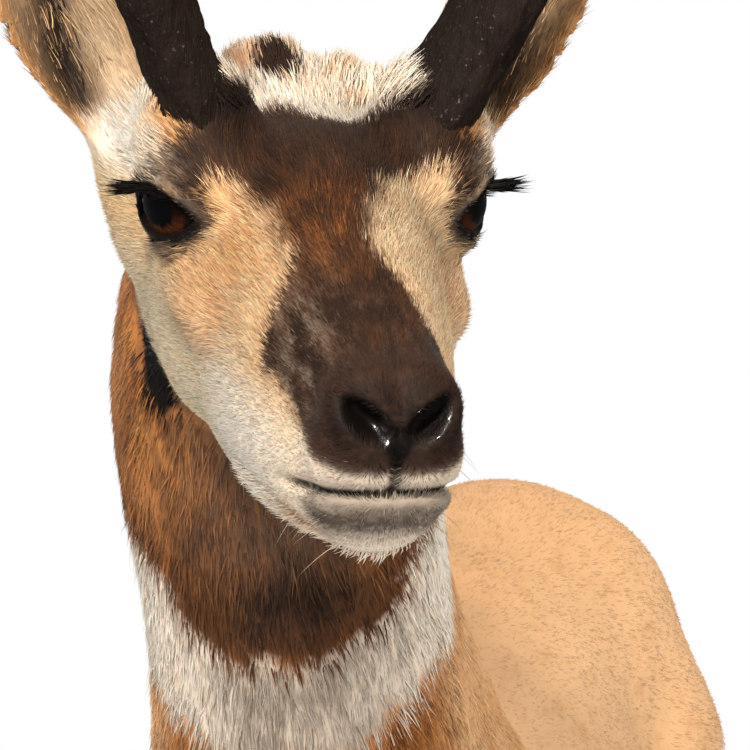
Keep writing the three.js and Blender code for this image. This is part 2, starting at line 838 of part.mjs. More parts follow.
// All that lies on the normal's side of a plane, within a large box.
function sideOf(point, normal, offset) {
  const size = 2600;
  const box = new THREE.BoxGeometry(size, size, size);
  const turn = new THREE.Quaternion().setFromUnitVectors(vec([0, 0, 1]), normal);
  const middle = point.clone().addScaledVector(normal, size / 2 + offset);
  box.applyQuaternion(turn);
  box.translate(middle.x, middle.y, middle.z);
  return solidOf(box);
}

function boxBetween(low, high, grow) {
  const size = low.map((v, i) => high[i] - v + 2 * grow);
  const box = new THREE.BoxGeometry(...size);
  box.translate(...low.map((v, i) => (v + high[i]) / 2));
  return solidOf(box);
}

function signedVolume(numbers, index) {
  const at = (v) => new THREE.Vector3(...numbers.slice(3 * v, 3 * v + 3));
  let sum = 0;
  for (let i = 0; i < index.length; i += 3) {
    sum += at(index[i]).dot(at(index[i + 1]).cross(at(index[i + 2]))) / 6;
  }
  return sum;
}

// Rings of points lofted into a closed body; a ring of one point closes to a tip.
function loft(rings) {
  const numbers = [];
  const index = [];
  const starts = [];
  rings.forEach((ring) => {
    starts.push(numbers.length / 3);
    ring.forEach((p) => numbers.push(p.x, p.y, p.z));
  });
  for (let r = 0; r < rings.length - 1; r += 1) {
    const n = Math.max(rings[r].length, rings[r + 1].length);
    for (let i = 0; i < n; i += 1) {
      const j = (i + 1) % n;
      const a = starts[r] + (rings[r].length > 1 ? i : 0);
      const b = starts[r] + (rings[r].length > 1 ? j : 0);
      const c = starts[r + 1] + (rings[r + 1].length > 1 ? j : 0);
      const d = starts[r + 1] + (rings[r + 1].length > 1 ? i : 0);
      if (a !== b) {
        index.push(a, b, c);
      }
      if (c !== d) {
        index.push(a, c, d);
      }
    }
  }
  const close = (ring, start, flip) => {
    for (let i = 1; i < ring.length - 1; i += 1) {
      index.push(start, start + (flip ? i + 1 : i), start + (flip ? i : i + 1));
    }
  };
  close(rings[0], starts[0], true);
  close(rings[rings.length - 1], starts[rings.length - 1], false);
  if (signedVolume(numbers, index) < 0) {
    index.reverse();
  }
  const geometry = new THREE.BufferGeometry();
  geometry.setAttribute('position', new THREE.Float32BufferAttribute(numbers, 3));
  geometry.setIndex(index);
  return geometry;
}

// An oval ring square to a path; fore is its direction across the long half size.
function ovalRing(centre, way, fore, deep, wide, count) {
  const along = fore.clone().addScaledVector(way, -fore.dot(way)).normalize();
  const across = new THREE.Vector3().crossVectors(way, along);
  const ring = [];
  for (let i = 0; i < count; i += 1) {
    const a = 2 * Math.PI * i / count;
    ring.push(centre.clone().addScaledVector(along, deep * Math.cos(a))
      .addScaledVector(across, wide * Math.sin(a)));
  }
  return ring;
}

// One horn's blade and prong in the head frame (side, back, up); grow widens its socket.
function hornSolid(side, grow) {
  const root = hornForm.path[0][2];
  const point = ([s, f, u]) => vec([s * side + hornForm.lean * (u - root), -f, u]);
  const path = new THREE.CatmullRomCurve3(hornForm.path.map(point));
  const spread = hornForm.path.map((p, i) => i / (hornForm.path.length - 1));
  const deep = smoothCurve(spread, hornForm.deep);
  const wide = smoothCurve(spread, hornForm.wide);
  const fore = vec([0, -1, 0]);
  const rings = [];
  const count = 14;
  for (let i = 0; i <= count; i += 1) {
    const t = i / count;
    const way = path.getTangent(t);
    const centre = path.getPoint(t).addScaledVector(way, i === 0 ? -grow : 0);
    rings.push(ovalRing(centre, way, fore, deep(t) + grow, wide(t) + grow, 12));
  }
  const blade = solidOf(loft(rings));
  if (grow > 0) {
    return blade;
  }
  const prongPath = new THREE.CatmullRomCurve3(hornForm.prong.map(point));
  const prongRings = hornForm.prongWide.map((r, i) => {
    const t = i / (hornForm.prongWide.length - 1);
    return ovalRing(prongPath.getPoint(t), prongPath.getTangent(t), vec([0, 0, 1]), r * 1.25, r * 0.8, 8);
  });
  return largest(blade.add(solidOf(loft(prongRings))));
}

// The eyeball in the head frame, a ball with the cornea standing a little proud.
function eyeSolid(side, grow) {
  const profile = [];
  const count = 11;
  for (let i = 0; i <= count; i += 1) {
    const a = Math.PI * i / count;
    const bulge = eyeForm.bulge * Math.exp(-Math.pow((Math.PI - a) / 0.5, 2));
    const r = eyeForm.radius + grow + bulge;
    const edge = i === 0 || i === count;
    profile.push(new THREE.Vector2(edge ? 0 : r * Math.sin(a), -r * Math.cos(a)));
  }
  const ball = new THREE.LatheGeometry(profile, 18);
  const { out } = eyeAxes();
  const look = vec([out.x * side, -out.y, out.z]);
  ball.applyQuaternion(new THREE.Quaternion().setFromUnitVectors(vec([0, 1, 0]), look));
  ball.translate(eyeForm.at[0] * side, -eyeForm.at[1], eyeForm.at[2]);
  return solidOf(ball);
}

// One claw of a hoof: a flat sole, a pointed toe and a top that slopes with the coronet.
function clawSolid(foot, side) {
  const { length, top, wide, apart, high, slope } = hoofForm;
  const rings = [];
  for (const t of [0, 0.1, 0.55, 1]) {
    const long = mix(length, top, t) / 2;
    const middle = mix(-length / 2 + 16, -top / 2 + 20, t);
    const ring = [];
    for (let i = 0; i < 12; i += 1) {
      const a = 2 * Math.PI * i / 12;
      const y = middle - long * Math.cos(a);
      const toe = 1 - 0.4 * Math.pow(Math.max(Math.cos(a), 0), 1.6);
      const half = (wide - 1.5 * t) / 2;
      const swell = Math.sin(a) < 0 ? Math.max(Math.sin(a) * 1.7, -0.98) : Math.sin(a) * toe;
      const x = side * (apart / 2 + half * (1 + swell));
      const z = t === 0 ? 0 : t * (high - slope * y);
      ring.push(vec([foot.x + x, foot.y + y, z]));
    }
    rings.push(ring);
  }
  return solidOf(loft(rings));
}

// A flat tapered lock of hair that leaves the coat at its root and bends along the lie.
function lockSolid({ root, normal, flow, length, wide, thick, sink, drop }) {
  const rings = [];
  const parts = 4;
  const across = new THREE.Vector3().crossVectors(flow, normal).normalize();
  const at = root.clone().addScaledVector(normal, -sink).addScaledVector(flow, -length * 0.12);
  const way = flow.clone().addScaledVector(normal, 0.75).normalize();
  for (let i = 0; i < parts; i += 1) {
    const t = i / parts;
    const half = wide / 2 * (1 - 0.55 * t * t);
    const up = new THREE.Vector3().crossVectors(across, way).normalize();
    const flat = thick / 2 * (1 - 0.5 * t);
    rings.push([[1, 1], [-1, 1], [-1, -1], [1, -1]].map(([a, b]) => at.clone()
      .addScaledVector(across, a * half).addScaledVector(up, b * flat)));
    at.addScaledVector(way, length / parts);
    way.addScaledVector(normal, -0.42).addScaledVector(vec([0, 0, -1]), drop).normalize();
  }
  rings.push([at.clone()]);
  return solidOf(loft(rings));
}

// Walks from a point outwards along a direction to the surface.
function surfacePoint(field, from, way) {
  const p = from.clone();
  for (let i = 0; i < 60; i += 1) {
    p.addScaledVector(way, -field(p.x, p.y, p.z) * 0.8);
  }
  return p;
}

function surfaceNormal(field, p) {
  const e = 2;
  return new THREE.Vector3(
    field(p.x + e, p.y, p.z) - field(p.x - e, p.y, p.z),
    field(p.x, p.y + e, p.z) - field(p.x, p.y - e, p.z),
    field(p.x, p.y, p.z + e) - field(p.x, p.y, p.z - e),
  ).normalize();
}

function withLocks(solid, locks) {
  return largest(tidied(largest(locks.reduce((sum, lock) => sum.add(lockSolid(lock)), solid)), 0.8));
}

// The mane stands along the nape from the poll to the withers.
function maneLocks(field, stations) {
  const random = seeded(11);
  const locks = [];
  for (let row = 0; row < maneForm.rows; row += 1) {
    const t = mix(maneForm.from, maneForm.to, row / (maneForm.rows - 1)) * (stations.length - 1);
    const low = stations[Math.floor(t)];
    const high = stations[Math.min(Math.floor(t) + 1, stations.length - 1)];
    const part = t - Math.floor(t);
    const centre = low.at.clone().lerp(high.at, part);
    const nape = low.nape.clone().lerp(high.nape, part).normalize();
    const side = low.side.clone().lerp(high.side, part).normalize();
    const back = low.way.clone().lerp(high.way, part).negate();
    for (let i = 0; i < maneForm.across; i += 1) {
      const spot = (i + 0.5 + (row % 2 ? 0.22 : -0.22)) / maneForm.across * 2 - 1;
      const angle = rad(spot * maneForm.spread + (random() - 0.5) * 6);
      const way = nape.clone().multiplyScalar(Math.cos(angle))
        .addScaledVector(side, Math.sin(angle));
      const root = surfacePoint(field, centre, way);
      const normal = surfaceNormal(field, root);
      const flow = back.clone().addScaledVector(side, spot * 0.25);
      flow.addScaledVector(normal, -flow.dot(normal)).normalize();
      locks.push({
        root, normal, flow, length: maneForm.length * (0.85 + 0.3 * random()),
        wide: maneForm.wide * (0.85 + 0.3 * random()), thick: maneForm.thick, sink: 9, drop: 0,
      });
    }
  }
  return locks;
}

// The tuft on the crown between the horns and the ears.
function crestLocks(field) {
  const random = seeded(5);
  const locks = [];
  for (let i = 0; i < crestForm.count; i += 1) {
    const across = (i % 4 - 1.5) * 10 + (random() - 0.5) * 4;
    const from = fromHead([across, -30 - 16 * Math.floor(i / 4), 0]);
    const root = surfacePoint(field, from, headUp);
    const normal = surfaceNormal(field, root);
    const flow = headWay([across * 0.006, -1, 0]);
    flow.addScaledVector(normal, -flow.dot(normal)).normalize();
    locks.push({
      root, normal, flow, length: crestForm.length * (0.8 + 0.4 * random()),
      wide: crestForm.wide, thick: crestForm.thick, sink: 7, drop: 0,
    });
  }
  return locks;
}

function tailCoat(field) {
  const random = seeded(23);
  const locks = [];
  for (let i = 0; i < tailLocks.count; i += 1) {
    const row = Math.floor(i / 3);
    const z = 762 - 24 * row;
    const angle = rad((i % 3 - 1) * 62 + (row % 2) * 24 - 12);
    const way = vec([Math.sin(angle), Math.cos(angle), 0.1]).normalize();
    const root = surfacePoint(field, vec([0, 464, z]), way);
    const normal = surfaceNormal(field, root);
    const flow = vec([0, 0.12, -1]);
    flow.addScaledVector(normal, -flow.dot(normal)).normalize();
    locks.push({
      root, normal, flow, length: tailLocks.length * (0.85 + 0.3 * random()),
      wide: tailLocks.wide, thick: tailLocks.thick, sink: 6, drop: 0.1,
    });
  }
  return locks;
}

// The head's region: in front of a plane behind the jaw and above one below it.
function headRegion(inset) {
  const size = 1200;
  const box = new THREE.BoxGeometry(size, size, size);
  box.translate(0, size / 2 + inset, size / 2 + inset);
  const across = headWay([1, 0, 0]);
  const front = headWay(headSeam.front);
  const above = new THREE.Vector3().crossVectors(across.negate(), front);
  const corner = fromHead(headSeam.corner);
  box.applyMatrix4(new THREE.Matrix4().makeBasis(across, front, above).setPosition(corner));
  return solidOf(box);
}

// The seams between the flesh pieces
function seams(grow) {
  const head = headRegion(seam / 2 - grow);
  const neckWay = vec([0, -0.8, 0.6]).normalize();
  const neck = sideOf(vec([0, -335, 770]), neckWay, seam / 2 - grow);
  const inset = grow - seam / 2;
  return {
    head,
    neck,
    tail: boxBetween([-60, 452, 560], [60, 620, 850], inset),
    leg_front_left: boxBetween([48, -450, -20], [260, -212, 546], inset),
    leg_front_right: boxBetween([-260, -450, -20], [-48, -212, 546], inset),
    leg_back_left: boxBetween([34, 160, -20], [260, 560, 588], inset),
    leg_back_right: boxBetween([-260, 160, -20], [-34, 560, 588], inset),
  };
}

// Where each foot stands: the coronet's middle above the sole.
function footSpots() {
  const last = foreLimb[foreLimb.length - 1];
  const back = hindLimb[hindLimb.length - 1];
  const spot = (ball, side, step) => {
    const [x, y] = stepped([ball], side, step)[0];
    return { x, y };
  };
  return {
    front_left: spot(last, 1, stance.frontLeft),
    front_right: spot(last, -1, stance.frontRight),
    back_left: spot(back, 1, stance.backLeft),
    back_right: spot(back, -1, stance.backRight),
  };
}

function headPiece(field) {
  const low = [-330, -860, 930];
  const high = [330, -380, 1400];
  const care = (p) => {
    const f = p.clone().sub(vec(headPose.at)).dot(headFront);
    return f > 105 ? 5 : 1.6;
  };
  const fine = surfaceOf(field, low, high, headStep);
  const simple = simplerSurface(fine, headTriangles, care);
  return solidFrom(simple.place, simple.faces);
}

function bodyPiece(field) {
  const low = [-200, -800, 3];
  const high = [240, 560, 1345];
  const corner = fromHead(headSeam.corner);
  const front = headWay(headSeam.front);
  const above = headWay([0, -headSeam.front[2], headSeam.front[1]]);
  const past = corner.dot(front) + 25;
  const over = corner.dot(above) + 25;
  const headless = (x, y, z) => Math.max(field(x, y, z), Math.min(
    x * front.x + y * front.y + z * front.z - past,
    x * above.x + y * above.y + z * above.z - over,
  ));
  const care = (p) => (p.z < 500 ? 3 : 1);
  const fine = surfaceOf(headless, low, high, bodyStep);
  const simple = simplerSurface(fine, bodyTriangles, care);
  return solidFrom(simple.place, simple.faces);
}

function fleshPieces(stations) {
  const field = animalField(stations);
  const cut = seams(0);
  const away = seams(seam);
  const feet = footSpots();
  const pieces = {};
  let headSolid = headPiece(field).intersect(cut.head);
  for (const [name, side] of [['left', 1], ['right', -1]]) {
    const { along } = earAxes(earPose[name], side);
    const at = vec([earForm.at[0] * side, earForm.at[1], earForm.at[2]])
      .addScaledVector(along, earForm.cutAt);
    const point = fromHead([at.x, at.y, at.z]);
    const way = headWay([along.x, along.y, along.z]);
    const ear = headSolid.intersect(sideOf(point, way, seam / 2).intersect(aroundEar(point, way, 0)));
    const socket = hornSolid(side, seam).transform(headPlace.toArray());
    pieces[`ear_${name}`] = largest(ear.subtract(socket));
    headSolid = headSolid.subtract(sideOf(point, way, -seam / 2)
      .intersect(aroundEar(point, way, 0.2)));
    headSolid = headSolid.subtract(socket);
    headSolid = headSolid.subtract(eyeSolid(side, seam).transform(headPlace.toArray()));
  }
  pieces.head = largest(withLocks(largest(headSolid), crestLocks(field)).intersect(cut.head));
  const body = bodyPiece(field);
  const whole = body.subtract(away.head);
  pieces.neck = largest(whole.intersect(cut.neck));
  let rest = whole.subtract(away.neck);
  for (const name of ['tail', 'leg_front_left', 'leg_front_right', 'leg_back_left', 'leg_back_right']) {
    pieces[name] = largest(rest.intersect(cut[name]));
    rest = rest.subtract(away[name]);
  }
  pieces.torso = largest(rest);
  for (const [name, { x, y }] of Object.entries(feet)) {
    const { high, slope } = hoofForm;
    const tilt = vec([0, slope, 1]).normalize();
    const above = sideOf(vec([x, y, high]), tilt, seam);
    pieces[`leg_${name}`] = largest(pieces[`leg_${name}`].intersect(above));
  }
  pieces.neck = largest(withLocks(pieces.neck, maneLocks(field, stations)).subtract(away.head));
  pieces.tail = largest(withLocks(pieces.tail, tailCoat(field)).intersect(cut.tail));
  return pieces;
}

// A ball-shaped reach round an ear, so that its seam cuts nothing else.
function aroundEar(point, way, grow) {
  const ball = new THREE.SphereGeometry(96 + grow, 24, 16);
  const middle = point.clone().addScaledVector(way, 74);
  ball.translate(middle.x, middle.y, middle.z);
  return solidOf(ball);
}

function addPiece(group, name, solid, colour, roughness) {
  const material = new THREE.MeshStandardMaterial({ color: colour, roughness, metalness: 0 });
  const mesh = new THREE.Mesh(geometryOf(solid), material);
  mesh.name = name;
  group.add(mesh);
}

function buildAnimal() {
  const group = new THREE.Group();
  const stations = neckStations();
  const flesh = fleshPieces(stations);
  const tint = {
    head: colours.face, neck: colours.neck, torso: colours.coat, tail: colours.tail,
    ear_left: colours.ear, ear_right: colours.ear,
  };
  for (const [name, solid] of Object.entries(flesh)) {
    addPiece(group, name, solid, tint[name] ?? colours.leg, 0.9);
  }
  for (const [name, side] of [['left', 1], ['right', -1]]) {
    const place = headPlace.toArray();
    addPiece(group, `horn_${name}`, hornSolid(side, 0).transform(place), colours.horn, 0.6);
    addPiece(group, `eye_${name}`, eyeSolid(side, 0).transform(place), colours.eye, 0.1);
  }
  for (const [name, foot] of Object.entries(footSpots())) {
    const outer = name.endsWith('left') ? 1 : -1;
    addPiece(group, `hoof_${name}_outer`, clawSolid(foot, outer), colours.hoof, 0.5);
    addPiece(group, `hoof_${name}_inner`, clawSolid(foot, -outer), colours.hoof, 0.5);
  }
  return group;
}

// The finished group stands with the middle of its base at the origin.
const animal = buildAnimal();
const extent = new THREE.Box3().setFromObject(animal, true);
const middle = extent.getCenter(new THREE.Vector3());
animal.position.set(-middle.x, -middle.y, 0);
animal.updateMatrixWorld(true);

export default animal;
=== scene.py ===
import bmesh
import bpy
import math
import numpy as np
from mathutils import Matrix, Vector


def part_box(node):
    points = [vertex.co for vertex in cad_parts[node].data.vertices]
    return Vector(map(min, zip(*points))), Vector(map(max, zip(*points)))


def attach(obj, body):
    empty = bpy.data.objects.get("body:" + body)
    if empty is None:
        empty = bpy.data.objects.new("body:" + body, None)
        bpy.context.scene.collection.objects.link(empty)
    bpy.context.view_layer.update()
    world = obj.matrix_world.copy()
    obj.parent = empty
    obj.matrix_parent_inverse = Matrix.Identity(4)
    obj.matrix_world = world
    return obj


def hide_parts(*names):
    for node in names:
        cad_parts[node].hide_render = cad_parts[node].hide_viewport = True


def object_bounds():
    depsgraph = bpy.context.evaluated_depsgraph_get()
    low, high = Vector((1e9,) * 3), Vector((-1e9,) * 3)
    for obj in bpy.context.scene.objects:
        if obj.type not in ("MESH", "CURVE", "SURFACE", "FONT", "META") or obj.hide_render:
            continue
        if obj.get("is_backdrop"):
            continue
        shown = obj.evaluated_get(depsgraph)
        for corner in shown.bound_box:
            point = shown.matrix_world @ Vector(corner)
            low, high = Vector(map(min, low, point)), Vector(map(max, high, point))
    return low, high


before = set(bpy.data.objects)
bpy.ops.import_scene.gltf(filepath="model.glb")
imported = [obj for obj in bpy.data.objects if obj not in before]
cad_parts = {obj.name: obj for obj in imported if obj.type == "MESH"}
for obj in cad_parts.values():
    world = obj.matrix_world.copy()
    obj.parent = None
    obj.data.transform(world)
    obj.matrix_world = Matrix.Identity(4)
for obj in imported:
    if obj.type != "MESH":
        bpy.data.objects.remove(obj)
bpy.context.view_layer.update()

# A pronghorn buck, standing. All sizes below are millimetres in the animal's own frame:
# +Z up, it faces -Y, its left side is +X. Finished meshes are turned to metres at the end.
mm = 0.001
seed = 20


def log(text):
    print("pronghorn:", text)


def curveThrough(x, xs, ys):  # smooth curve through points, level past its ends
    xs = np.asarray(xs, float)
    ys = np.asarray(ys, float)
    x = np.clip(x, xs[0], xs[-1])
    slope = np.gradient(ys, xs)
    i = np.clip(np.searchsorted(xs, x) - 1, 0, len(xs) - 2)
    h = xs[i + 1] - xs[i]
    t = (x - xs[i]) / h
    t2, t3 = t * t, t * t * t
    return ((2 * t3 - 3 * t2 + 1) * ys[i] + (t3 - 2 * t2 + t) * h * slope[i]
            + (3 * t2 - 2 * t3) * ys[i + 1] + (t3 - t2) * h * slope[i + 1])


def unit(v):
    v = np.asarray(v, float)
    return v / np.maximum(np.linalg.norm(v, axis=-1, keepdims=True), 1e-9)


def ramp(x, lo, hi):  # 0 below lo, 1 above hi, soft between
    t = np.clip((np.asarray(x, float) - lo) / (hi - lo), 0, 1)
    return t * t * (3 - 2 * t)


def fall(x, lo, hi):  # 1 below lo, 0 above hi
    return 1 - ramp(x, lo, hi)


def bump(x, middle, width):
    return np.exp(-(((x - middle) / width) ** 2))


def near(p, at, reach):  # 1 at a place, fading out past its reach
    return fall(np.linalg.norm(p - np.asarray(at, float), axis=1), reach * 0.6, reach * 1.3)


def blendMin(a, b, k):  # joins two distances over a width k
    h = np.maximum(k - np.abs(a - b), 0) / k
    return np.minimum(a, b) - h * h * k * 0.25


def blendMax(a, b, k):
    return -blendMin(-a, -b, k)


def softNoise(p, size, octaves=2, shift=0.0):  # smooth lattice noise from -1 to 1
    total = np.zeros(len(p))
    q = p / size + shift
    gain = 1.0
    for _ in range(octaves):
        cell = np.floor(q).astype(np.int64)
        t = q - cell
        t = t * t * (3 - 2 * t)
        value = np.zeros(len(p))
        for corner in range(8):
            off = np.array([corner & 1, corner >> 1 & 1, corner >> 2 & 1])
            c = cell + off
            n = (c[:, 0] * 73856093) ^ (c[:, 1] * 19349663) ^ (c[:, 2] * 83492791)
            n = (n * 1274126177 + 1013904223) & 0x7FFFFFFF
            n = ((n >> 13) ^ n) * 60493 & 0x7FFFFFFF
            w = np.prod(np.where(off == 1, t, 1 - t), axis=1)
            value += w * ((n % 20011) / 10005.5 - 1)
        total += gain * value
        gain *= 0.5
        q = q * 2.03 + 17.7
    return total / (2 - 0.5 ** (octaves - 1))


def spun(a, b, degrees):
    c, s = math.cos(math.radians(degrees)), math.sin(math.radians(degrees))
    return c * a + s * b, c * b - s * a


def ellipsoid(p, at, radii, tip=0, turn=0):
    x, y, z = (p - np.asarray(at, float)).T
    if turn:
        x, y = spun(x, y, turn)
    if tip:
        y, z = spun(y, z, -tip)
    rx, ry, rz = radii
    k0 = np.sqrt((x / rx) ** 2 + (y / ry) ** 2 + (z / rz) ** 2)
    k1 = np.sqrt((x / rx ** 2) ** 2 + (y / ry ** 2) ** 2 + (z / rz ** 2) ** 2)
    return k0 * (k0 - 1) / np.maximum(k1, 1e-9)


def cone(p, a, b):  # rounded cone between two balls x, y, z, radius
    a, b = np.asarray(a, float), np.asarray(b, float)
    ab = b[:3] - a[:3]
    t = np.clip((p - a[:3]) @ ab / (ab @ ab), 0, 1)
    return np.linalg.norm(p - a[:3] - t[:, None] * ab, axis=1) - (a[3] + (b[3] - a[3]) * t)


def chain(p, balls, k):
    d = cone(p, balls[0], balls[1])
    for a, b in zip(balls[1:-1], balls[2:]):
        d = blendMin(d, cone(p, a, b), k)
    return d


def folded(q):  # both sides laid over each other
    return np.abs(q * [1, 0, 0]) + q * [0, 1, 1]


def toward(a, b, weight):  # each row of a, a part of the way to b
    return a + (b - a) * weight[:, None]


def joined(q, forms, d=None):  # ellipsoids blended on to a distance
    for form in forms:
        e = ellipsoid(q, form["at"], form["radii"], form.get("tip", 0), form.get("turn", 0))
        d = e if d is None else blendMin(d, e, form["blend"])
    return d


def nearOnly(p, centre, reach, field):  # far from a part its bounding ball will do
    inside, past = 30, 90  # how far in from the ball the part stays, and where it is measured
    d = np.linalg.norm(p - np.asarray(centre, float), axis=1) - reach + inside
    close = d < past
    if close.any():
        d[close] = field(p[close])
    return d


# The animal's shape: the same named sizes as its solids
headPose = dict(at=(80, -600, 1190), turn=24.11, tip=19.5, roll=1.2)
headLine = dict(
    f=(-100, -70, -30, 10, 50, 90, 125, 152, 172, 184),
    top=(4, 20, 34, 45, 43, 35, 29, 24, 17, 3),
    bottom=(-30, -70, -91, -98, -99, -91, -80, -68, -56, -34),
    wide=(32, 48, 55, 57, 52, 46, 39, 33, 27, 18),
    lean=(0, 0, 0.02, -0.02, -0.12, -0.16, -0.14, -0.1, -0.05, 0), square=2.35,
)
headForms = dict(
    skull=dict(at=(0, -62, 0), radii=(46, 44, 40), blend=22),
    brow=dict(at=(46, 3, 20), radii=(29, 36, 29), blend=14),
    hornRoot=dict(at=(49, -12, 40), radii=(24, 32, 22), blend=14),
    cheekBone=dict(at=(45, 14, -24), radii=(17, 46, 14), tip=-4, turn=-8, blend=18),
    cheek=dict(at=(39, -14, -50), radii=(22, 48, 42), tip=16, blend=18),
    earBase=dict(at=(56, -46, -8), radii=(25, 30, 46), blend=18),
    nostrilWing=dict(at=(12, 164, 5), radii=(13, 19, 14), blend=13),
    upperLip=dict(at=(14, 161, -17), radii=(15, 20, 13), blend=8),
    chin=dict(at=(0, 151, -47), radii=(21, 24, 20), blend=8),
)
eyeForm = dict(at=(48, 5, 10.5), radius=24, outward=57, bulge=1.4, slant=-10)
eyeAt = np.array(eyeForm["at"], float)
lidForm = dict(shell=1.8, long=17, high=9.6, corner=1.6, behind=1.2, soft=6, edge=1.5, reach=60, foldReach=50,
               upperFold=(1.4, 7.5, 1.5), lowerFold=(0.8, 5.5, 1.4))
noseForm = dict(at=(12, 179, 4), reach=7.5, depth=9, slant=0.55)
mouthForm = dict(back=(29, 138, -45), front=(0, 182, -26), width=2.8, depth=4.5)
earForm = dict(at=(66, -58, 12), length=150, wide=33, cup=26, thick=7, root=24)
earPose = {1: dict(out=28, back=18, facing=10), -1: dict(out=26, back=20, facing=0)}
neckForm = dict(
    base=(20, -270, 740), baseWay=(0.25, -0.75, 0.62), top=(0, -66, -26), topWay=(0, -0.55, -0.83),
    pull=140, t=(0, 0.25, 0.5, 0.75, 1), wide=(112, 94, 74, 73, 44), deep=(168, 132, 102, 88, 58),
    stations=13,
)
torsoForms = (
    dict(at=(0, -120, 684), radii=(132, 285, 208), blend=1),
    dict(at=(0, -225, 800), radii=(56, 150, 95), tip=-8, blend=60),
    dict(at=(0, 120, 770), radii=(108, 260, 119), blend=50),
    dict(at=(0, 70, 682), radii=(140, 235, 165), tip=-5, blend=40),
    dict(at=(0, 285, 775), radii=(122, 165, 120), tip=-6, blend=50),
    dict(at=(66, 300, 690), radii=(72, 128, 165), tip=10, blend=40),
    dict(at=(80, -280, 690), radii=(54, 96, 172), tip=20, blend=36),
    dict(at=(0, -330, 640), radii=(92, 108, 135), blend=50),
)
foreLimb = (
    (100, -345, 640, 58), (98, -285, 550, 48), (96, -300, 500, 41), (92, -305, 420, 29),
    (89, -305, 345, 22), (88, -306, 315, 24), (87, -303, 285, 18), (86, -300, 215, 15),
    (85, -298, 140, 16.5), (85, -300, 108, 20), (85, -318, 72, 17), (85, -334, 46, 19),
)
hindLimb = (
    (84, 300, 700, 80), (112, 215, 590, 62), (110, 265, 490, 43), (100, 335, 405, 28),
    (94, 378, 362, 25), (92, 380, 320, 20), (90, 374, 230, 17), (89, 368, 145, 18),
    (89, 368, 112, 21), (89, 350, 74, 18), (89, 334, 46, 20),
)
hock = ((100, 330, 420, 20), (94, 408, 388, 14), (93, 396, 350, 15))
tailLine = ((0, 420, 800, 24), (0, 456, 768, 21), (0, 474, 700, 15))
stance = dict(frontLeft=-12, frontRight=22, backLeft=34, backRight=-40, swing=620)
hoofToe = 46  # from the last ball of a front leg to the tips of its hooves


def turnMatrix(pose):
    return np.array(Matrix.Rotation(math.radians(pose["turn"]), 3, "Z")
                    @ Matrix.Rotation(math.radians(pose["tip"]), 3, "X")
                    @ Matrix.Rotation(math.radians(pose["roll"]), 3, "Y"))


headTurn = turnMatrix(headPose)
headAxes = np.stack([headTurn[:, 0], -headTurn[:, 1], headTurn[:, 2]])  # side, front, up
headAt = np.array(headPose["at"], float)


def toHead(p):
    return (p - headAt) @ headAxes.T


def fromHead(q):
    return headAt + np.asarray(q, float) @ headAxes


def headWay(q):
    return unit(np.asarray(q, float) @ headAxes)


def headCurve(f, key):
    return curveThrough(f, headLine["f"], headLine[key])


def headCore(q):
    s, f, u = folded(q).T
    top, low, wide, lean = (headCurve(f, key) for key in ("top", "bottom", "wide", "lean"))
    half = (top - low) / 2
    t = (u - (top + low) / 2) / half
    side = wide * (1 + lean * np.clip(t, -1.2, 1.2))
    n = headLine["square"]
    g = ((s / side) ** n + np.abs(t) ** n) ** (1 / n) - 1
    end = np.maximum(f - headLine["f"][-1], headLine["f"][0] - f)
    return blendMax(g * np.minimum(side, half), end, 10)


def eyeAxes():
    a = math.radians(eyeForm["outward"])
    out = unit([math.sin(a), math.cos(a), 0.02])
    level = np.array([-math.cos(a), math.sin(a), 0])
    along = unit(np.array(Matrix.Rotation(math.radians(-eyeForm["slant"]), 3, Vector(out))) @ level)
    return out, along, np.cross(out, along)


eyeOut, eyeAlong, eyeOver = eyeAxes()


def almond(v):  # distance outside the almond between the lids, v from the middle of the eye
    k = lidForm["corner"]
    b, h = np.abs(v @ eyeAlong) / lidForm["long"], np.abs(v @ eyeOver) / lidForm["high"]
    return ((b ** k + h ** k) ** (1 / k) - 1) * lidForm["high"]


def lidGap(q):
    v = q - eyeAt
    return np.maximum(almond(v), 4 - v @ eyeOut)


def lids(d, q):  # the lids close over the ball and leave the almond open
    ball = np.linalg.norm(q - eyeAt, axis=1) - eyeForm["radius"]
    opening = np.maximum(lidGap(q), -ball - lidForm["behind"])
    return blendMax(blendMin(d, ball - lidForm["shell"], lidForm["soft"]), -opening, lidForm["edge"])


def lidFolds(v):  # creases above and below the lids, v from the middle of the eye
    gap, over = almond(v), ramp(v @ eyeOver, -2, 4)
    upper, lower = (lidForm[key][0] * bump(gap, *lidForm[key][1:]) for key in ("upperFold", "lowerFold"))
    return (upper * over + lower * (1 - over)) * ramp(v @ eyeOut, 2, 9)


def earAxes(side):
    pose = earPose[side]
    o, b, fc = (math.radians(pose[k]) for k in ("out", "back", "facing"))
    along = unit([math.sin(o) * side, -math.sin(b) * math.cos(o), math.cos(b) * math.cos(o)])
    face = np.array([math.sin(fc) * side, math.cos(fc), 0])
    facing = unit(face - along * (face @ along))
    return np.cross(along, facing), along, facing


def earRoot(side):
    return np.array(earForm["at"]) * [side, 1, 1]


def earPlace(q, side):  # across, along and out of the cup
    return tuple((q - earRoot(side)) @ way for way in earAxes(side))


def earFloor(cup, v, t):  # the bottom of the cup, v across it from -1 to 1
    return cup * v * v - cup * 0.55 + 10 * t * t


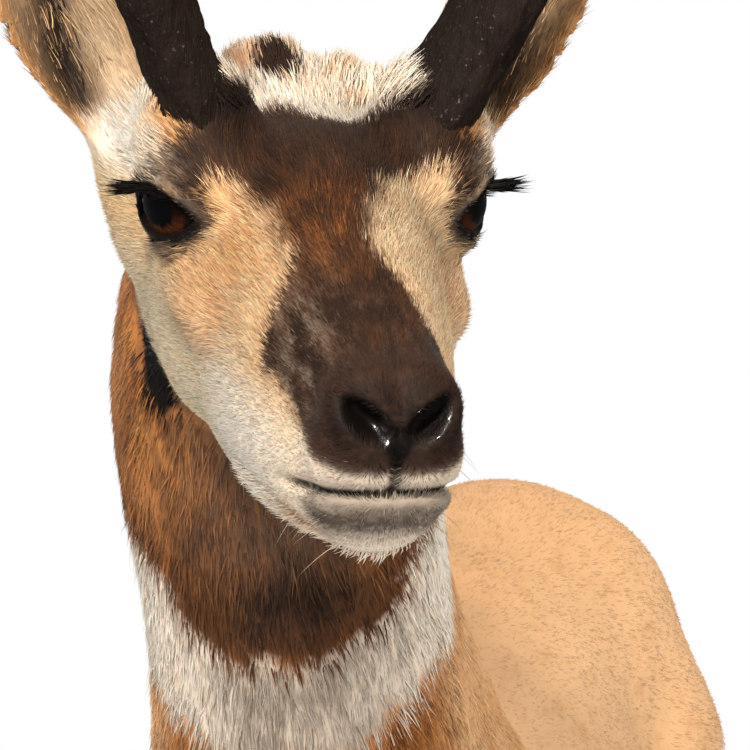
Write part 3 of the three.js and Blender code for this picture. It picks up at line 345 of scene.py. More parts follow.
def earShape(a, l, d):
    t = np.clip(l / earForm["length"], -0.1, 1)
    w = earForm["wide"] * curveThrough(t, (-0.1, 0, 0.12, 0.4, 0.7, 0.9, 1),
                                       (0.42, 0.5, 0.72, 1, 0.8, 0.42, 0.12))
    cup = earForm["cup"] * curveThrough(t, (-0.1, 0, 0.2, 0.5, 1), (1, 1.1, 1.05, 0.8, 0.15))
    v = np.clip(a / w, -1.3, 1.3)
    tilt = 2 * cup * v / w
    wall = earForm["thick"] / 2 * (1 - 0.35 * t)
    sheet = np.abs(d - earFloor(cup, v, t)) / np.sqrt(1 + tilt * tilt) - wall
    rim = (np.abs(a) - w) * 0.85
    end = np.maximum(l - earForm["length"], -10 - l)
    return blendMax(blendMax(sheet, rim, 4), end, 5)


def ear(q, side):
    _, along, facing = earAxes(side)
    at = earRoot(side)
    root = cone(q, (*(at - 18 * along), earForm["root"]),
                (*(at + 16 * along - 7 * facing), earForm["root"] * 0.62))
    return blendMin(earShape(*earPlace(q, side)), root, 14)


def skull(q):  # the head without its ears, in the head frame
    q = folded(q)
    return joined(q, headForms.values(), headCore(q))


def neckStations():
    base, top = np.array(neckForm["base"], float), fromHead(neckForm["top"])
    a, b, c, e = (base, base + unit(neckForm["baseWay"]) * neckForm["pull"],
                  top + headWay(neckForm["topWay"]) * neckForm["pull"], top)
    stations = []
    for t in np.arange(neckForm["stations"]) / (neckForm["stations"] - 1):
        m = 1 - t
        way = unit(m * m * (b - a) + 2 * m * t * (c - b) + t * t * (e - c))
        side = m * np.array([1.0, 0, 0]) + t * headAxes[0]
        side = unit(side - way * (side @ way))
        wide, deep = (float(curveThrough(t, neckForm["t"], neckForm[key])) for key in ("wide", "deep"))
        stations.append(dict(at=m ** 3 * a + 3 * m * m * t * b + 3 * m * t * t * c + t ** 3 * e, way=way,
                             side=side, nape=np.cross(way, side), wide=wide, deep=deep))
    return stations


neckLine = neckStations()
neckStrands = [[(*(s["at"] + s["nape"] * k * (s["deep"] - s["wide"])), s["wide"]) for s in neckLine]
               for k in (-1, 0, 1)]


def neck(p):
    d = chain(p, neckStrands[0], 20)
    for strand in neckStrands[1:]:
        d = blendMin(d, chain(p, strand, 20), 14)
    return d


def torso(p):
    return joined(folded(p), torsoForms)


def stepped(balls, side, step):
    return [(x * side, y + step * min(max(1 - z / stance["swing"], 0), 1), z, r) for x, y, z, r in balls]


legSpots = {
    "front_left": (foreLimb, 1, stance["frontLeft"]),
    "front_right": (foreLimb, -1, stance["frontRight"]),
    "back_left": (hindLimb, 1, stance["backLeft"]),
    "back_right": (hindLimb, -1, stance["backRight"]),
}
legJoins = dict(fore=8, hock=6, hind=14)
earSides = {"ear_left": 1, "ear_right": -1}


def leg(p, name):
    limb, side, step = legSpots[name]
    if limb is foreLimb:
        return chain(p, stepped(limb, side, step), legJoins["fore"])
    heel = chain(p, stepped(hock, side, step), legJoins["hock"])
    return blendMin(chain(p, stepped(limb, side, step), legJoins["hind"]), heel, legJoins["hind"])


# The ball round each part, and how softly the parts join
partBalls = dict(torso=((0, 0, 700), 560), fore=((95, -310, 330), 430), hind=((95, 310, 370), 430),
                 tail=((0, 440, 750), 120), neck=(neckLine[len(neckLine) // 3]["at"], 420),
                 skull=((0, 20, 10), 235), ear=((80, -90, 80), 130))
partJoins = dict(leg=40, tail=20, neck=45, ear=10, head=22)


def inBall(p, ball, field, side=1):
    at, reach = partBalls[ball]
    return nearOnly(p, np.array(at) * [side, 1, 1], reach, field)


def anatomy(p):  # every part's distance, and the whole animal's
    q = toHead(p)
    d = dict(torso=inBall(p, "torso", torso))
    for name, (limb, side, _) in legSpots.items():
        d[name] = inBall(p, "fore" if limb is foreLimb else "hind", lambda v: leg(v, name), side)
    d["tail"] = inBall(p, "tail", lambda v: chain(v, tailLine, 10))
    d["neck"] = inBall(p, "neck", neck)
    d["skull"] = inBall(q, "skull", skull)
    mirrored = folded(q)
    head = d["skull"].copy()
    close = np.linalg.norm(mirrored - eyeAt, axis=1) < lidForm["reach"]
    if close.any():
        head[close] = lids(head[close], mirrored[close])
    for name, side in earSides.items():
        d[name] = inBall(q, "ear", lambda v: ear(v, side), side)
        head = blendMin(head, d[name], partJoins["ear"])
    whole = d["torso"]
    for name in (*legSpots, "tail", "neck"):
        whole = blendMin(whole, d[name], partJoins.get(name, partJoins["leg"]))
    d["all"] = blendMin(whole, head, partJoins["head"])
    return d


def nostrilPlace(s, f, u):  # sideways from the middle of the slanting slit, ahead and up
    x, y, z = noseForm["at"]
    return s - x - noseForm["slant"] * (u - z), f - y, u - z


def mouthLevel(f):
    back, front = mouthForm["back"], mouthForm["front"]
    along = np.clip((f - back[1]) / (front[1] - back[1]), -0.3, 1)
    return back[2] + (front[2] - back[2]) * along


def muzzleLines(q):  # nostrils, mouth line and the groove under the nose
    s, f, u = folded(q).T
    across, ahead, over = nostrilPlace(s, f, u)
    n = np.sqrt((across * 1.1) ** 2 + (ahead * 0.55) ** 2 + over ** 2)
    pit = noseForm["depth"] * 1.5 * np.exp(-((n / noseForm["reach"]) ** 3))
    fade = np.clip((f - mouthForm["back"][1] + 8) / 14, 0, 1)
    slit = mouthForm["depth"] * np.exp(-((u - mouthLevel(f)) / mouthForm["width"]) ** 2) * fade
    groove = 2.4 * np.exp(-(s / 1.7) ** 2) * ramp(f, 160, 172) * ramp(u, -30, -26) * ramp(-u, -6, 0)
    return (pit + slit + groove) * ramp(f, 105, 118)


# How deep the skin lies under the coat, and the grid on which its surface is found
skinForm = dict(coat=7, neckCoat=9, faceCoat=2.2, noseCoat=0.4, earCoat=0.7, legCoat=2.8, crest=6)
gridForm = dict(side=4.5, coarse=8.0, fine=3.0, skip=4, headFrom=(-400, 930), reach=(240, 820, 1560))
# Distances over which one part's surface gives way to the next
regionEdges = dict(head=(3, 30), ear=(1, 7), earFoot=(-2, 8), leg=(2, 26), legTop=(440, 600), neck=(4, 50),
                   neckFoot=(-60, 20), tail=(2, 14), tailFoot=(440, 462))


def regions(p, d):  # how much of each part's surface a point belongs to
    edge = regionEdges
    ears = np.minimum(d["ear_left"], d["ear_right"])
    legs = np.minimum.reduce([d[n] for n in legSpots])
    wHead = fall(d["skull"], *edge["head"])
    wEar = fall(ears, *edge["ear"]) * ramp(d["skull"], *edge["earFoot"])
    wLeg = fall(legs, *edge["leg"]) * fall(p[:, 2], *edge["legTop"])
    wNeck = fall(d["neck"], *edge["neck"]) * ramp(d["torso"], *edge["neckFoot"])
    wTail = fall(d["tail"], *edge["tail"]) * ramp(p[:, 1], *edge["tailFoot"])
    return toHead(p), wHead, wEar, wLeg, wNeck, wTail


def skinValue(p):
    d = anatomy(p)
    q, wHead, wEar, wLeg, wNeck, _ = regions(p, d)
    depth = np.full(len(p), float(skinForm["coat"]))
    for key, weight in (("neckCoat", wNeck), ("legCoat", wLeg), ("faceCoat", wHead), ("earCoat", wEar)):
        depth = depth + (skinForm[key] - depth) * weight
    crests = np.maximum(near(q, (-10, -78, 36), 17), near(q, (34, -62, 36), 19))
    depth = depth - skinForm["crest"] * crests * wHead
    nose = wHead * ramp(q[:, 1], 160, 172) * ramp(q[:, 2], -46, -38)
    depth = depth + (skinForm["noseCoat"] - depth) * nose
    value = d["all"] + depth
    front = (np.abs(d["skull"]) < 16) & (wEar < 0.9) & (q[:, 1] > 100)
    if front.any():
        value[front] += muzzleLines(q[front])
    r = folded(q)
    eye = np.linalg.norm(r - eyeAt, axis=1) < lidForm["foldReach"]
    if eye.any():
        value[eye] = lids(value[eye] + lidFolds(r[eye] - eyeAt), r[eye])
    return value


def axisSteps(lo, mid, hi, first, last):  # grid lines: one spacing up to mid, another past it
    return np.concatenate([np.arange(lo, mid, first), np.arange(mid, hi + last, last)])


def sampleSkin():  # the field on a coarse grid, and in full beside the surface
    sx, sy, sz = gridForm["reach"]
    split, fine, coarse = gridForm["headFrom"], gridForm["fine"], gridForm["coarse"]
    axes = (np.arange(-sx, sx + 90, gridForm["side"]), axisSteps(-sy, split[0], 540, fine, coarse),
            axisSteps(-16, split[1], sz, coarse, fine))
    rare = [np.append(a[::gridForm["skip"]], a[-1]) for a in axes]
    grid = np.stack(np.meshgrid(*rare, indexing="ij"), -1).reshape(-1, 3)
    rough = skinValue(grid).reshape([len(c) for c in rare])
    for axis, (c, a) in enumerate(zip(rare, axes)):
        i = np.clip(np.searchsorted(c, a, side="right") - 1, 0, len(c) - 2)
        t = (a - c[i]) / np.maximum(c[i + 1] - c[i], 1e-9)
        shape = [1, 1, 1]
        shape[axis] = len(a)
        t = t.reshape(shape)
        rough = np.take(rough, i, axis) * (1 - t) + np.take(rough, i + 1, axis) * t
    band = np.full(rough.shape, 17.0)
    band[:, :, axes[2] > split[1]] = 12
    band[:, axes[1] > split[0] + 10, :] = 17
    beside = np.argwhere(np.abs(rough) < band)
    value = rough.astype(np.float32)
    for part in np.array_split(beside, max(1, len(beside) // 200000)):
        at = np.stack([axes[k][part[:, k]] for k in range(3)], 1)
        value[part[:, 0], part[:, 1], part[:, 2]] = skinValue(at)
    return value, axes


def polygons(value, axes):
    import openvdb
    volume = openvdb.FloatGrid(background=30.0)
    volume.copyFromArray(np.clip(value, -30, 30))
    points, triangles, quads = (np.asarray(part) for part in volume.convertToPolygons(0.0, 0.0))
    placed = np.stack([np.interp(points[:, k], np.arange(len(axes[k])), axes[k]) for k in range(3)], 1)
    return placed, [tuple(face) for face in quads.tolist() + triangles.tolist()]


def towardSkin(p, rounds):  # moves points onto the skin, a part at a time
    for _ in range(rounds):
        for part in np.array_split(np.arange(len(p)), max(1, len(p) // 60000)):
            v = p[part]
            d = skinValue(v)
            e = 0.6
            slope = np.stack([skinValue(v + np.eye(3)[k] * e) - d for k in range(3)], 1) / e
            size = np.maximum((slope ** 2).sum(1), 0.25)
            step = np.clip(d / size, -4, 4)[:, None] * slope
            p[part] = v - step * 0.9
    return p


def newObject(name, data):
    obj = bpy.data.objects.new(name, data)
    bpy.context.collection.objects.link(obj)
    return obj


def meshOf(name, points, faces, smooth=True):
    mesh = bpy.data.meshes.new(name)
    mesh.from_pydata(np.asarray(points).tolist(), [], faces)
    if smooth:
        mesh.shade_smooth()
    mesh.update()
    return newObject(name, mesh)


def sharedShift():  # the solids' frame is centred, so the front hooves say where the animal stands
    left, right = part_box("hoof_front_left_outer"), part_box("hoof_front_right_outer")
    _, y, z, _ = foreLimb[-1]
    toe = y + stance["frontLeft"] * (1 - z / stance["swing"]) - hoofToe
    return np.array([(left[0][0] + right[1][0]) / 2 / mm, left[0][1] / mm - toe, 0])


shift = sharedShift()
log("shift %s" % np.round(shift, 1))


def toWorld(p):
    return (np.asarray(p, float) + shift) * mm


def tone(r, g, b):  # a colour as it is seen, turned to light values
    c = np.array([r, g, b], float) / 255
    return np.where(c <= 0.04045, c / 12.92, ((c + 0.055) / 1.055) ** 2.4)


coatTones = dict(
    sand=tone(240, 190, 142), rust=tone(170, 98, 38), umber=tone(88, 53, 30), mask=tone(50, 33, 24),
    black=tone(16, 12, 11), pad=tone(56, 38, 29), cream=tone(238, 213, 180), white=tone(250, 234, 217),
    orange=tone(208, 145, 84), grey=tone(146, 132, 118), tan=tone(226, 180, 132),
    dusk=tone(96, 82, 72), earDark=tone(36, 26, 21), earPale=tone(160, 132, 104),
)
# The face mask: how wide it is on either side, by the way forward, and its edge at the crown
maskForm = dict(
    right=((10, 26, 31, 35, 43, 54, 68, 92, 99, 106, 124, 148, 173),
           (54, 60, 66, 54, 47, 43, 41, 42, 56, 70, 66, 65, 56)),
    left=((10, 28, 36, 43, 62, 80, 98, 110, 120, 137, 150, 173),
          (54, 62, 44, 31, 18, 13, 13, 18, 26, 38, 48, 52)),
    crown=((-34, -17, -2, 7, 23, 31), (-6, -30, -23, -12, -5, 0)),
)


def paint(colour, *coats):  # lays tones over a colour in turn, each by its weight
    if isinstance(colour, str):
        colour = coatTones[colour]
    for weight, name in coats:
        colour = toward(colour, coatTones[name], np.clip(weight, 0, 1))
    return colour


def wetness(q):  # shining nostrils, groove and lid rims
    r = folded(q)
    s, f, u = r.T
    across, ahead, over = nostrilPlace(s, f, u)
    nostril = fall(np.sqrt(across ** 2 + over ** 2 + 0.3 * ahead ** 2), 7, 11)
    middle = fall(s - 0.5 * (u + 8), 3, 6) * ramp(f, 168, 173) * ramp(u, -20, -14)
    middle = middle * fall(u, -5, 1)
    groove = fall(s, 1.5, 3.5) * ramp(f, 166, 172) * ramp(u, -30, -26) * fall(u, -6, 1)
    return np.clip(np.maximum.reduce([nostril, middle, groove, fall(lidGap(r), 1.5, 3)]), 0, 1)


def headTones(q):
    side, r = q[:, 0], folded(q)
    s, f, u = r.T
    n1 = softNoise(q, 14, 3)
    n2 = softNoise(q * [1, 0.3, 1], 4, 2, 40)
    n3 = softNoise(q * [1, 0.22, 1], 2.1, 2, 80)
    arc = s + 0.8 * np.maximum(headCurve(f, "top") - u, 0)
    blush = bump(f, 55, 38) * bump(arc, 64, 30)
    face = paint(
        "tan",
        (0.3 + 0.3 * n1, "cream"),
        (ramp(-u, 8, 50) * (0.9 + 0.2 * n1), "cream"),
        (ramp(-u, 10, 42) * ramp(f, 40, 95), "white"),
        (blush * (0.42 + 0.6 * n2), "orange"),
        # painted light: the face's left side (side > 0) is lightened towards cream, where the lamps reach it
        # less
        (ramp(side, 4, 14) * bump(f, 50, 40) * (0.3 + 0.4 * n2), "cream"),
        (near(r, (54, 52, -17), 22) * (0.3 + 0.5 * n3), "rust"),
        (ramp(n3, 0.1, 0.7) * 0.5, "cream"),
        (ramp(-n3 - 0.4 * n2, 0, 0.8) * (0.35 + 0.5 * blush), "rust"))
    edge = np.where(side < 0, curveThrough(f, *maskForm["right"]), curveThrough(f, *maskForm["left"]))
    soft = 4 + 7 * bump(f, 72, 30)
    inMask = fall(arc + 4 * n1 + 4 * n2 + 4 * n3, edge - soft, edge + soft)
    dark = paint(
        "mask",
        (0.35 + 0.6 * n2, "umber"),
        (ramp(n3 + 0.5 * n1, 0.1, 0.8) * 0.35, "dusk"),
        (near(r, (0, 30, 42), 44) * 0.35, "black"),
        (bump(f, 76, 28) * bump(side, -14, 34) * ramp(n3 + n2, -0.4, 0.6) * 0.45, "rust"),
        (near(r, (0, 140, 0), 40) * ramp(-n2 - n3, -0.3, 0.5) * 0.4, "black"),
        # painted sheen, with grey flecks of hair: a grey patch on the right side of the nose bridge (side <
        # 0)
        (bump(side, -27, 10) * bump(f, 124, 28) * ramp(n3 + n2, -0.2, 0.5) * 0.6, "grey"),
        (near(r, (49, -6, 52), 30) * 0.75, "black"))
    face = toward(face, dark, inMask * ramp(u, -26, -16))
    band = np.maximum.reduce([near(r, (56, 22, 40), 11), near(r, (56, 29, 29), 9), near(r, (54, 33, 18), 9)])
    brow = near(r, (70, 7, 30), 14)
    rim = lidGap(r)
    muzzle = ramp(f, 112, 140) * ramp(-u, 12, 20)
    chin = bump(u, -58 + 0.1 * (f - 150), 3.4) * bump(f, 146, 14)
    pad = ramp(f + 3 * n2, 150, 162) * ramp(u + 1.6 * n2 + 1.2 * n3, -19, -15)
    over = u - mouthLevel(f)
    lip = ramp(f, 148, 164)
    mouthEnd = mouthForm["back"][1]
    face = paint(
        face,
        (band * (1 + 0.3 * n3), "mask"),
        (near(r, (64, 10, 47), 11) * (0.55 + 0.6 * n3), "orange"),
        (brow * 0.75, "white"),
        (brow * ramp(n3 + n2, 0, 0.5) * 0.6, "grey"),
        (near(r, (62, 20, 30), 9) * (0.8 + 0.3 * n3), "dusk"),
        (near(r, (66, 22, -3), 12) * (0.75 + 0.5 * n3), "dusk"),
        (near(r, (54, 29, 8), 9) * 0.9, "black"),
        (fall(rim + 1.5 * n2, 3.5, 8) * 0.8, "dusk"),
        (fall(rim + 1.2 * n2, 2.8, 4.6), "black"),
        (muzzle * 0.4, "cream"),
        (muzzle * ramp(f, 140, 165) * 0.7, "white"),
        (chin * (0.6 + 0.3 * n3), "rust"),
        (pad * 0.85, "pad"),
        (pad * ramp(n3, 0.1, 0.8) * 0.4, "umber"),
        (near(r, noseForm["at"], 17) * (0.55 - 0.4 * n3), "black"),
        (wetness(r) * ramp(f, 120, 140), "black"),
        (bump(over, -5, 6) * lip * 0.65, "grey"),
        (bump(over, -13, 9) * lip * (1 + 0.4 * n3), "dusk"),
        (bump(over, 5, 5) * lip * 0.4 * (1 - pad), "grey"),
        (bump(over, 0, 2.2) * ramp(f, mouthEnd - 4, mouthEnd + 8), "black"))
    start = curveThrough(side, *maskForm["crown"])
    crown = paint(
        "white",
        (0.1 - 0.6 * n1, "cream"),
        (ramp(-n3 - n1, 0.2, 0.8) * 0.5, "orange"),
        (bump(f, -64, 9) * bump(side, -22, 16) * 0.8, "orange"),
        (ramp(bump(f, -60, 15) * bump(side, -6, 12) + 0.3 * n3, 0.35, 0.6), "mask"),
        (ramp(-f, 70, 95), "rust"))
    face = toward(face, crown, fall(f + 5 * n1 + 4 * n3, start - 5, start + 4) * ramp(u, -6, 14))
    # the throat under the jaw is greyed: grey hair, and painted shade under the head
    throat = fall(s, 8, 30) * ramp(-u, 62, 76) * fall(f, 60, 110)
    return paint(face, (throat * 0.6, "grey"))


def earTones(q, side):
    a, l, d = earPlace(q, side)
    t = np.clip(l / earForm["length"], 0, 1)
    w = earForm["wide"] * curveThrough(t, (0, 0.12, 0.4, 0.7, 0.9, 1), (0.5, 0.72, 1, 0.8, 0.42, 0.12))
    cup = earForm["cup"] * curveThrough(t, (0, 0.2, 0.5, 1), (1.1, 1.05, 0.8, 0.15))
    v = np.clip(a / w, -1.3, 1.3)
    inside = ramp(d - earFloor(cup, v, t), -0.6, 1.4)
    n3 = softNoise(np.stack([a, l * 0.2, d], 1), 2.4, 2, 60)
    inward = -v * side
    middle = curveThrough(l, (0, 20, 40, 60, 110), (0.62, 0.62, 0.52, 0.32, 0.1))
    stripe = bump(inward + 0.16 * n3, middle, 0.36) * ramp(l, 2, 14) * fall(t, 0.8, 0.97)
    inner = paint(
        "earPale",
        (0.15 + 0.4 * n3, "tan"),
        (ramp(np.abs(v), 0.7, 0.95) * 0.8, "orange"),
        (bump(inward, -0.1, 0.35) * (0.4 + 0.5 * n3), "cream"),
        (stripe * (1 + 0.4 * n3), "earDark"),
        (bump(inward, -0.55 + 0.1 * n3, 0.12) * ramp(t, 0.3, 0.45) * 0.4, "orange"))
    return toward(paint("tan", (ramp(t, 0.6, 1) * 0.7, "umber")), inner, inside)


neckAt, neckWay, neckSide, neckNape = (np.stack([s[key] for s in neckLine])
                                       for key in ("at", "way", "side", "nape"))


def neckStation(p):  # the nearest station of the neck
    return np.argmin(((p[:, None, :] - neckAt) ** 2).sum(2), axis=1)


def neckPlace(p):  # how far up the neck a point is, and its angle round it from the throat
    i = neckStation(p)
    v = p - neckAt[i]
    gap = 1 / (len(neckLine) - 1)
    span = np.linalg.norm(neckAt[1] - neckAt[0])
    t = i * gap + np.clip((v * neckWay[i]).sum(1) / span, -1, 1) * gap
    return t, np.arctan2((v * neckSide[i]).sum(1), -(v * neckNape[i]).sum(1))


crescentForm = dict(top=0.585, topRise=0.9, most=0.66, low=0.48, lowRise=0.035, second=0.4,
                    secondRise=0.42)


def neckTones(p):
    t, around = neckPlace(p)
    n1 = softNoise(p, 40, 3, 5)
    n2 = softNoise(p * [1, 1, 0.4], 9, 2, 9)
    n3 = softNoise(p * [1, 1, 0.3], 3.5, 2, 19)
    side = np.abs(around) / math.pi  # 0 at the throat, 1 at the nape
    rust = paint(
        "rust",
        (0.3 + 0.5 * n1, "orange"),
        (np.clip(0.22 + 0.7 * n2 + 0.7 * n3, 0, 0.85), "umber"),
        (ramp(n3 - n2, 0.2, 0.9) * bump(side, 0.36, 0.16) * 0.7, "orange"),
        (ramp(side, 0.8, 0.95), "umber"))
    plain = paint("sand", (0.4 + 0.4 * n1 + 0.5 * n2, "orange"))
    colour = toward(rust, plain, fall(t + 0.02 * n1, 0.46, 0.6) * ramp(side, 0.2, 0.34))
    middle = bump(side, 0, 0.2)
    # the front of the neck below the head is darkened: dark hair, and painted shade under the head
    throat = middle * ramp(t, 0.62, 0.72)
    form, far, at = crescentForm, side * side, t + 0.02 * n2 + 0.02 * n1
    top = np.minimum(form["top"] + form["topRise"] * far, form["most"])
    low = form["low"] + form["lowRise"] * ramp(side, 0.02, 0.3)
    second = form["second"] + form["secondRise"] * far
    upper = ramp(at, low, low + 0.02) * fall(at, top - 0.02, top) * fall(side, 0.46, 0.56)
    lower = fall(at, second - 0.02, second) * fall(side, 0.26, 0.36)
    return paint(
        colour,
        (throat * (0.75 + 0.3 * n3), "dusk"),
        (throat * ramp(n2, 0, 0.6) * 0.5, "mask"),
        (middle * bump(t, 0.64, 0.06) * (1.1 + 0.3 * n3), "mask"),
        (bump(at, top + 0.015, 0.022) * fall(side, 0.45, 0.6) * 0.75, "umber"),
        (upper, "white"),
        # painted shadow of the chin: the middle of the white band is greyed
        (upper * bump(side, 0, 0.18) * (0.85 + 0.5 * n3), "grey"),
        (lower * 0.95, "white"))


def bodyTones(p):
    x, y, z = folded(p).T
    n1 = softNoise(p, 60, 3, 2)
    n2 = softNoise(p * [1, 0.5, 1], 10, 2, 7)
    n3 = softNoise(p * [1, 0.3, 1], 4, 2, 27)
    line = 640 + 40 * ramp(y, -250, -60) - 26 * bump(y, 120, 160) + 60 * ramp(y, 200, 330)
    legOut = ramp(x, 84, 100) * (1 - bump(y, 60, 170)) * ramp(-z, -620, -540)
    belly = fall(z + 12 * n1 + 5 * n2, line - 14, line + 10) * ramp(y, -330, -200) * (1 - legOut)
    rump = ramp(y + 6 * n2, 372, 392) * ramp(z, 560, 600) * fall(x, 96, 116)
    return paint(
        "sand",
        (0.45 + 0.5 * n1 + 0.4 * n2 + 0.3 * n3, "tan"),
        (ramp(n3 + n2, 0.3, 0.9) * 0.25, "orange"),
        (bump(y + 0.3 * (z - 800), -170, 16) * ramp(z, 640, 760) * 0.35, "orange"),
        (ramp(z, 820, 890) * 0.25, "orange"),
        (belly, "white"),
        (rump, "white"))


def legTones(p):
    x, _, z = folded(p).T
    n1 = softNoise(p, 24, 2, 3)
    return paint(
        "sand",
        (0.4 + 0.4 * n1, "tan"),
        (fall(x + 4 * n1, 80, 94) * ramp(z, 120, 300) * 0.9, "white"),
        (fall(z, 70, 110) * 0.4, "cream"))


def overlay(colour, weight, tones, q):  # lays a part's own tones where its weight reaches
    touched = weight > 0
    if touched.any():
        colour[touched] = toward(colour[touched], tones(q[touched]), weight[touched])


def coatColour(p):  # the coat's markings at points of the animal, with painted shade under the head and chin and painted light and sheen on the face
    d = anatomy(p)
    q, _, _, wLeg, _, wTail = regions(p, d)
    colour = toward(bodyTones(p), legTones(p), wLeg)
    onNeck = fall(d["neck"], 4, 40) * ramp(p[:, 2] + 4 * softNoise(p, 20, 2), 560, 600)
    colour = toward(colour, neckTones(p), onNeck * ramp(neckPlace(p)[0], -0.06, 0.03))
    tail = paint("tan", (ramp(-p[:, 2], -745, -700) * 0.6, "umber"), (ramp(np.abs(p[:, 0]), 9, 16), "white"))
    colour = toward(colour, tail, wTail)
    overlay(colour, fall(d["skull"] + 3 * softNoise(p, 12, 2), 4, 14), headTones, q)
    for name, side in earSides.items():
        overlay(colour, fall(d[name], 1, 7) * ramp(earPlace(q, side)[1], 4, 22),
                lambda v: earTones(v, side), q)
    patch = bump(q[:, 1], -50, 15) * bump(q[:, 2], -100, 22) * ramp(np.abs(q[:, 0]), 30, 44)
    patch = ramp(patch + 0.15 * softNoise(q * [1, 1, 0.4], 6, 2), 0.3, 0.5)
    return np.clip(paint(colour, (patch, "black")), 0, 1)


class Tie:  # wraps a shader socket, so that its maths reads as an expression
    def __init__(self, mat, socket):
        self.mat = mat
        self.socket = socket

    def maths(self, op, other, flip=False):
        node = self.mat.tree.nodes.new("ShaderNodeMath")
        node.operation = op
        pair = (other, self) if flip else (self, other)
        for slotIn, value in zip(node.inputs, pair):
            self.mat.feed(slotIn, value)
        return Tie(self.mat, node.outputs[0])


for sign, op in (("add", "ADD"), ("sub", "SUBTRACT"), ("mul", "MULTIPLY"), ("pow", "POWER")):
    setattr(Tie, "__%s__" % sign, lambda self, other, op=op: self.maths(op, other))
    setattr(Tie, "__r%s__" % sign, lambda self, other, op=op: self.maths(op, other, True))


class Board:  # a node tree, its nodes added by type, settings and values
    def __init__(self, tree):
        self.tree = tree

    def feed(self, socket, value):
        if isinstance(value, Tie):
            self.tree.links.new(value.socket, socket)
        else:
            short = socket.type == "RGBA" and len(value) == 3
            socket.default_value = (*value, 1) if short else value

    def node(self, kind, settings=None, out=0, **values):
        made = self.tree.nodes.new(kind)
        for key, value in (settings or {}).items():
            setattr(made, key, value)
        for key, value in values.items():
            place = int(key[1:]) if key[1:].isdigit() else key.replace("_", " ")
            self.feed(made.inputs[place], value)
        return Tie(self, made.outputs[out])


class Finish(Board):  # one material around its shader
    def __init__(self, name):
        self.material = bpy.data.materials.new(name)
        self.material.use_nodes = True
        super().__init__(self.material.node_tree)
        self.shader = self.tree.nodes["Principled BSDF"]

    def surface(self, **values):
        for key, value in values.items():
            self.feed(self.shader.inputs[key.replace("_", " ")], value)
        return self.material

    def noise(self, scale, detail=3.0, rough=0.55, stretch=None):
        at = self.node("ShaderNodeTexCoord", out="Object")
        if stretch:
            at = self.node("ShaderNodeMapping", Vector=at, Scale=stretch)
        return self.node("ShaderNodeTexNoise", out="Fac", Vector=at, Scale=scale, Detail=detail,
                         Roughness=rough)

    def mix(self, amount, a, b, way="MIX"):
        return self.node("ShaderNodeMix", {"data_type": "RGBA", "blend_type": way}, out=2, _0=amount, _6=a,
                         _7=b)

    def stored(self, name, out="Fac"):
        return self.node("ShaderNodeAttribute", {"attribute_name": name}, out=out)

    def bumped(self, height, strength, depth):
        return self.node("ShaderNodeBump", Height=height, Strength=strength, Distance=depth)

    def steps(self, value, *stops):
        made = self.node("ShaderNodeValToRGB", Fac=value)
        bar = made.socket.node.color_ramp
        while len(bar.elements) < len(stops):
            bar.elements.new(0.5)
        for element, (place, level) in zip(bar.elements, stops):
            element.position = place
            element.color = (level, level, level, 1)
        return made


furFinish = dict(grain=900, shade=0.78, bump=0.35, depth=0.0006)


def furMaterial(name, sheen):
    m = Finish(name)
    grain = m.noise(furFinish["grain"])
    colour = m.mix(grain * 0.5, m.stored("coatColour", "Color"), (furFinish["shade"],) * 3, "MULTIPLY")
    wet = m.stored("wet")
    return m.surface(Base_Color=colour, Roughness=0.62 + 0.22 * grain - 0.42 * wet, Coat_Weight=0.9 * wet,
                     Normal=m.bumped(grain, furFinish["bump"], furFinish["depth"]), Sheen_Weight=sheen,
                     Sheen_Roughness=0.4, Specular_IOR_Level=0.22, Coat_Roughness=0.12)


def setColours(obj, colours):
    attribute = obj.data.color_attributes.new("coatColour", "FLOAT_COLOR", "POINT")
    data = np.ones((len(colours), 4), np.float32)
    data[:, :3] = colours
    attribute.data.foreach_set("color", data.ravel())


def rework(mesh, edit, *given, into=None):  # edits the faces of a mesh
    work = bmesh.new()
    work.from_mesh(mesh)
    edit(work, *given)
    work.to_mesh(into or mesh)
    work.free()


def refine(work, wanted):  # splits the faces where the face needs finer shape
    work.verts.ensure_lookup_table()
    chosen = wanted(np.array([v.co for v in work.verts]))
    edges = [e for e in work.edges if chosen[e.verts[0].index] and chosen[e.verts[1].index]]
    bmesh.ops.subdivide_edges(work, edges=edges, cuts=1, use_grid_fill=True)
    bmesh.ops.triangulate(work, faces=work.faces)


def turnOut(work):  # turns the faces outwards
    bmesh.ops.recalc_face_normals(work, faces=work.faces)


def weld(work):
    bmesh.ops.remove_doubles(work, verts=work.verts, dist=1e-5)
    turnOut(work)


def fineZone(points):
    r = folded(toHead(points))
    s, f, u = r.T
    eye = np.linalg.norm(r - (eyeAt + eyeOut * 18), axis=1) < 34
    return eye | (f > 132) & (u > -60) & (u < 34) & (s < 60)


def rowsOf(items, key, kind=float):  # a mesh's numbers as rows of three
    data = np.empty(len(items) * 3, kind)
    items.foreach_get(key, data)
    return data.reshape(-1, 3)


def reshape(mesh, points):
    mesh.vertices.foreach_set("co", points.ravel())
    mesh.update()


def makeSkin():
    points, faces = polygons(*sampleSkin())
    obj = meshOf("skin", towardSkin(points, 2), faces)
    rework(obj.data, refine, fineZone)
    points = towardSkin(rowsOf(obj.data.vertices, "co"), 2)
    reshape(obj.data, points)
    obj.data.shade_smooth()
    log("skin of %d triangles" % len(obj.data.polygons))
    return obj, points


skin, skinPoints = makeSkin()
skinNormals = rowsOf(skin.data.vertices, "normal")
outward = (skinNormals * (skinPoints - headAt)).sum(1)[toHead(skinPoints)[:, 1] > 120].mean()
if outward < 0:
    skin.data.flip_normals()
    skinNormals = -skinNormals
skinColours = coatColour(skinPoints)
log("markings done")

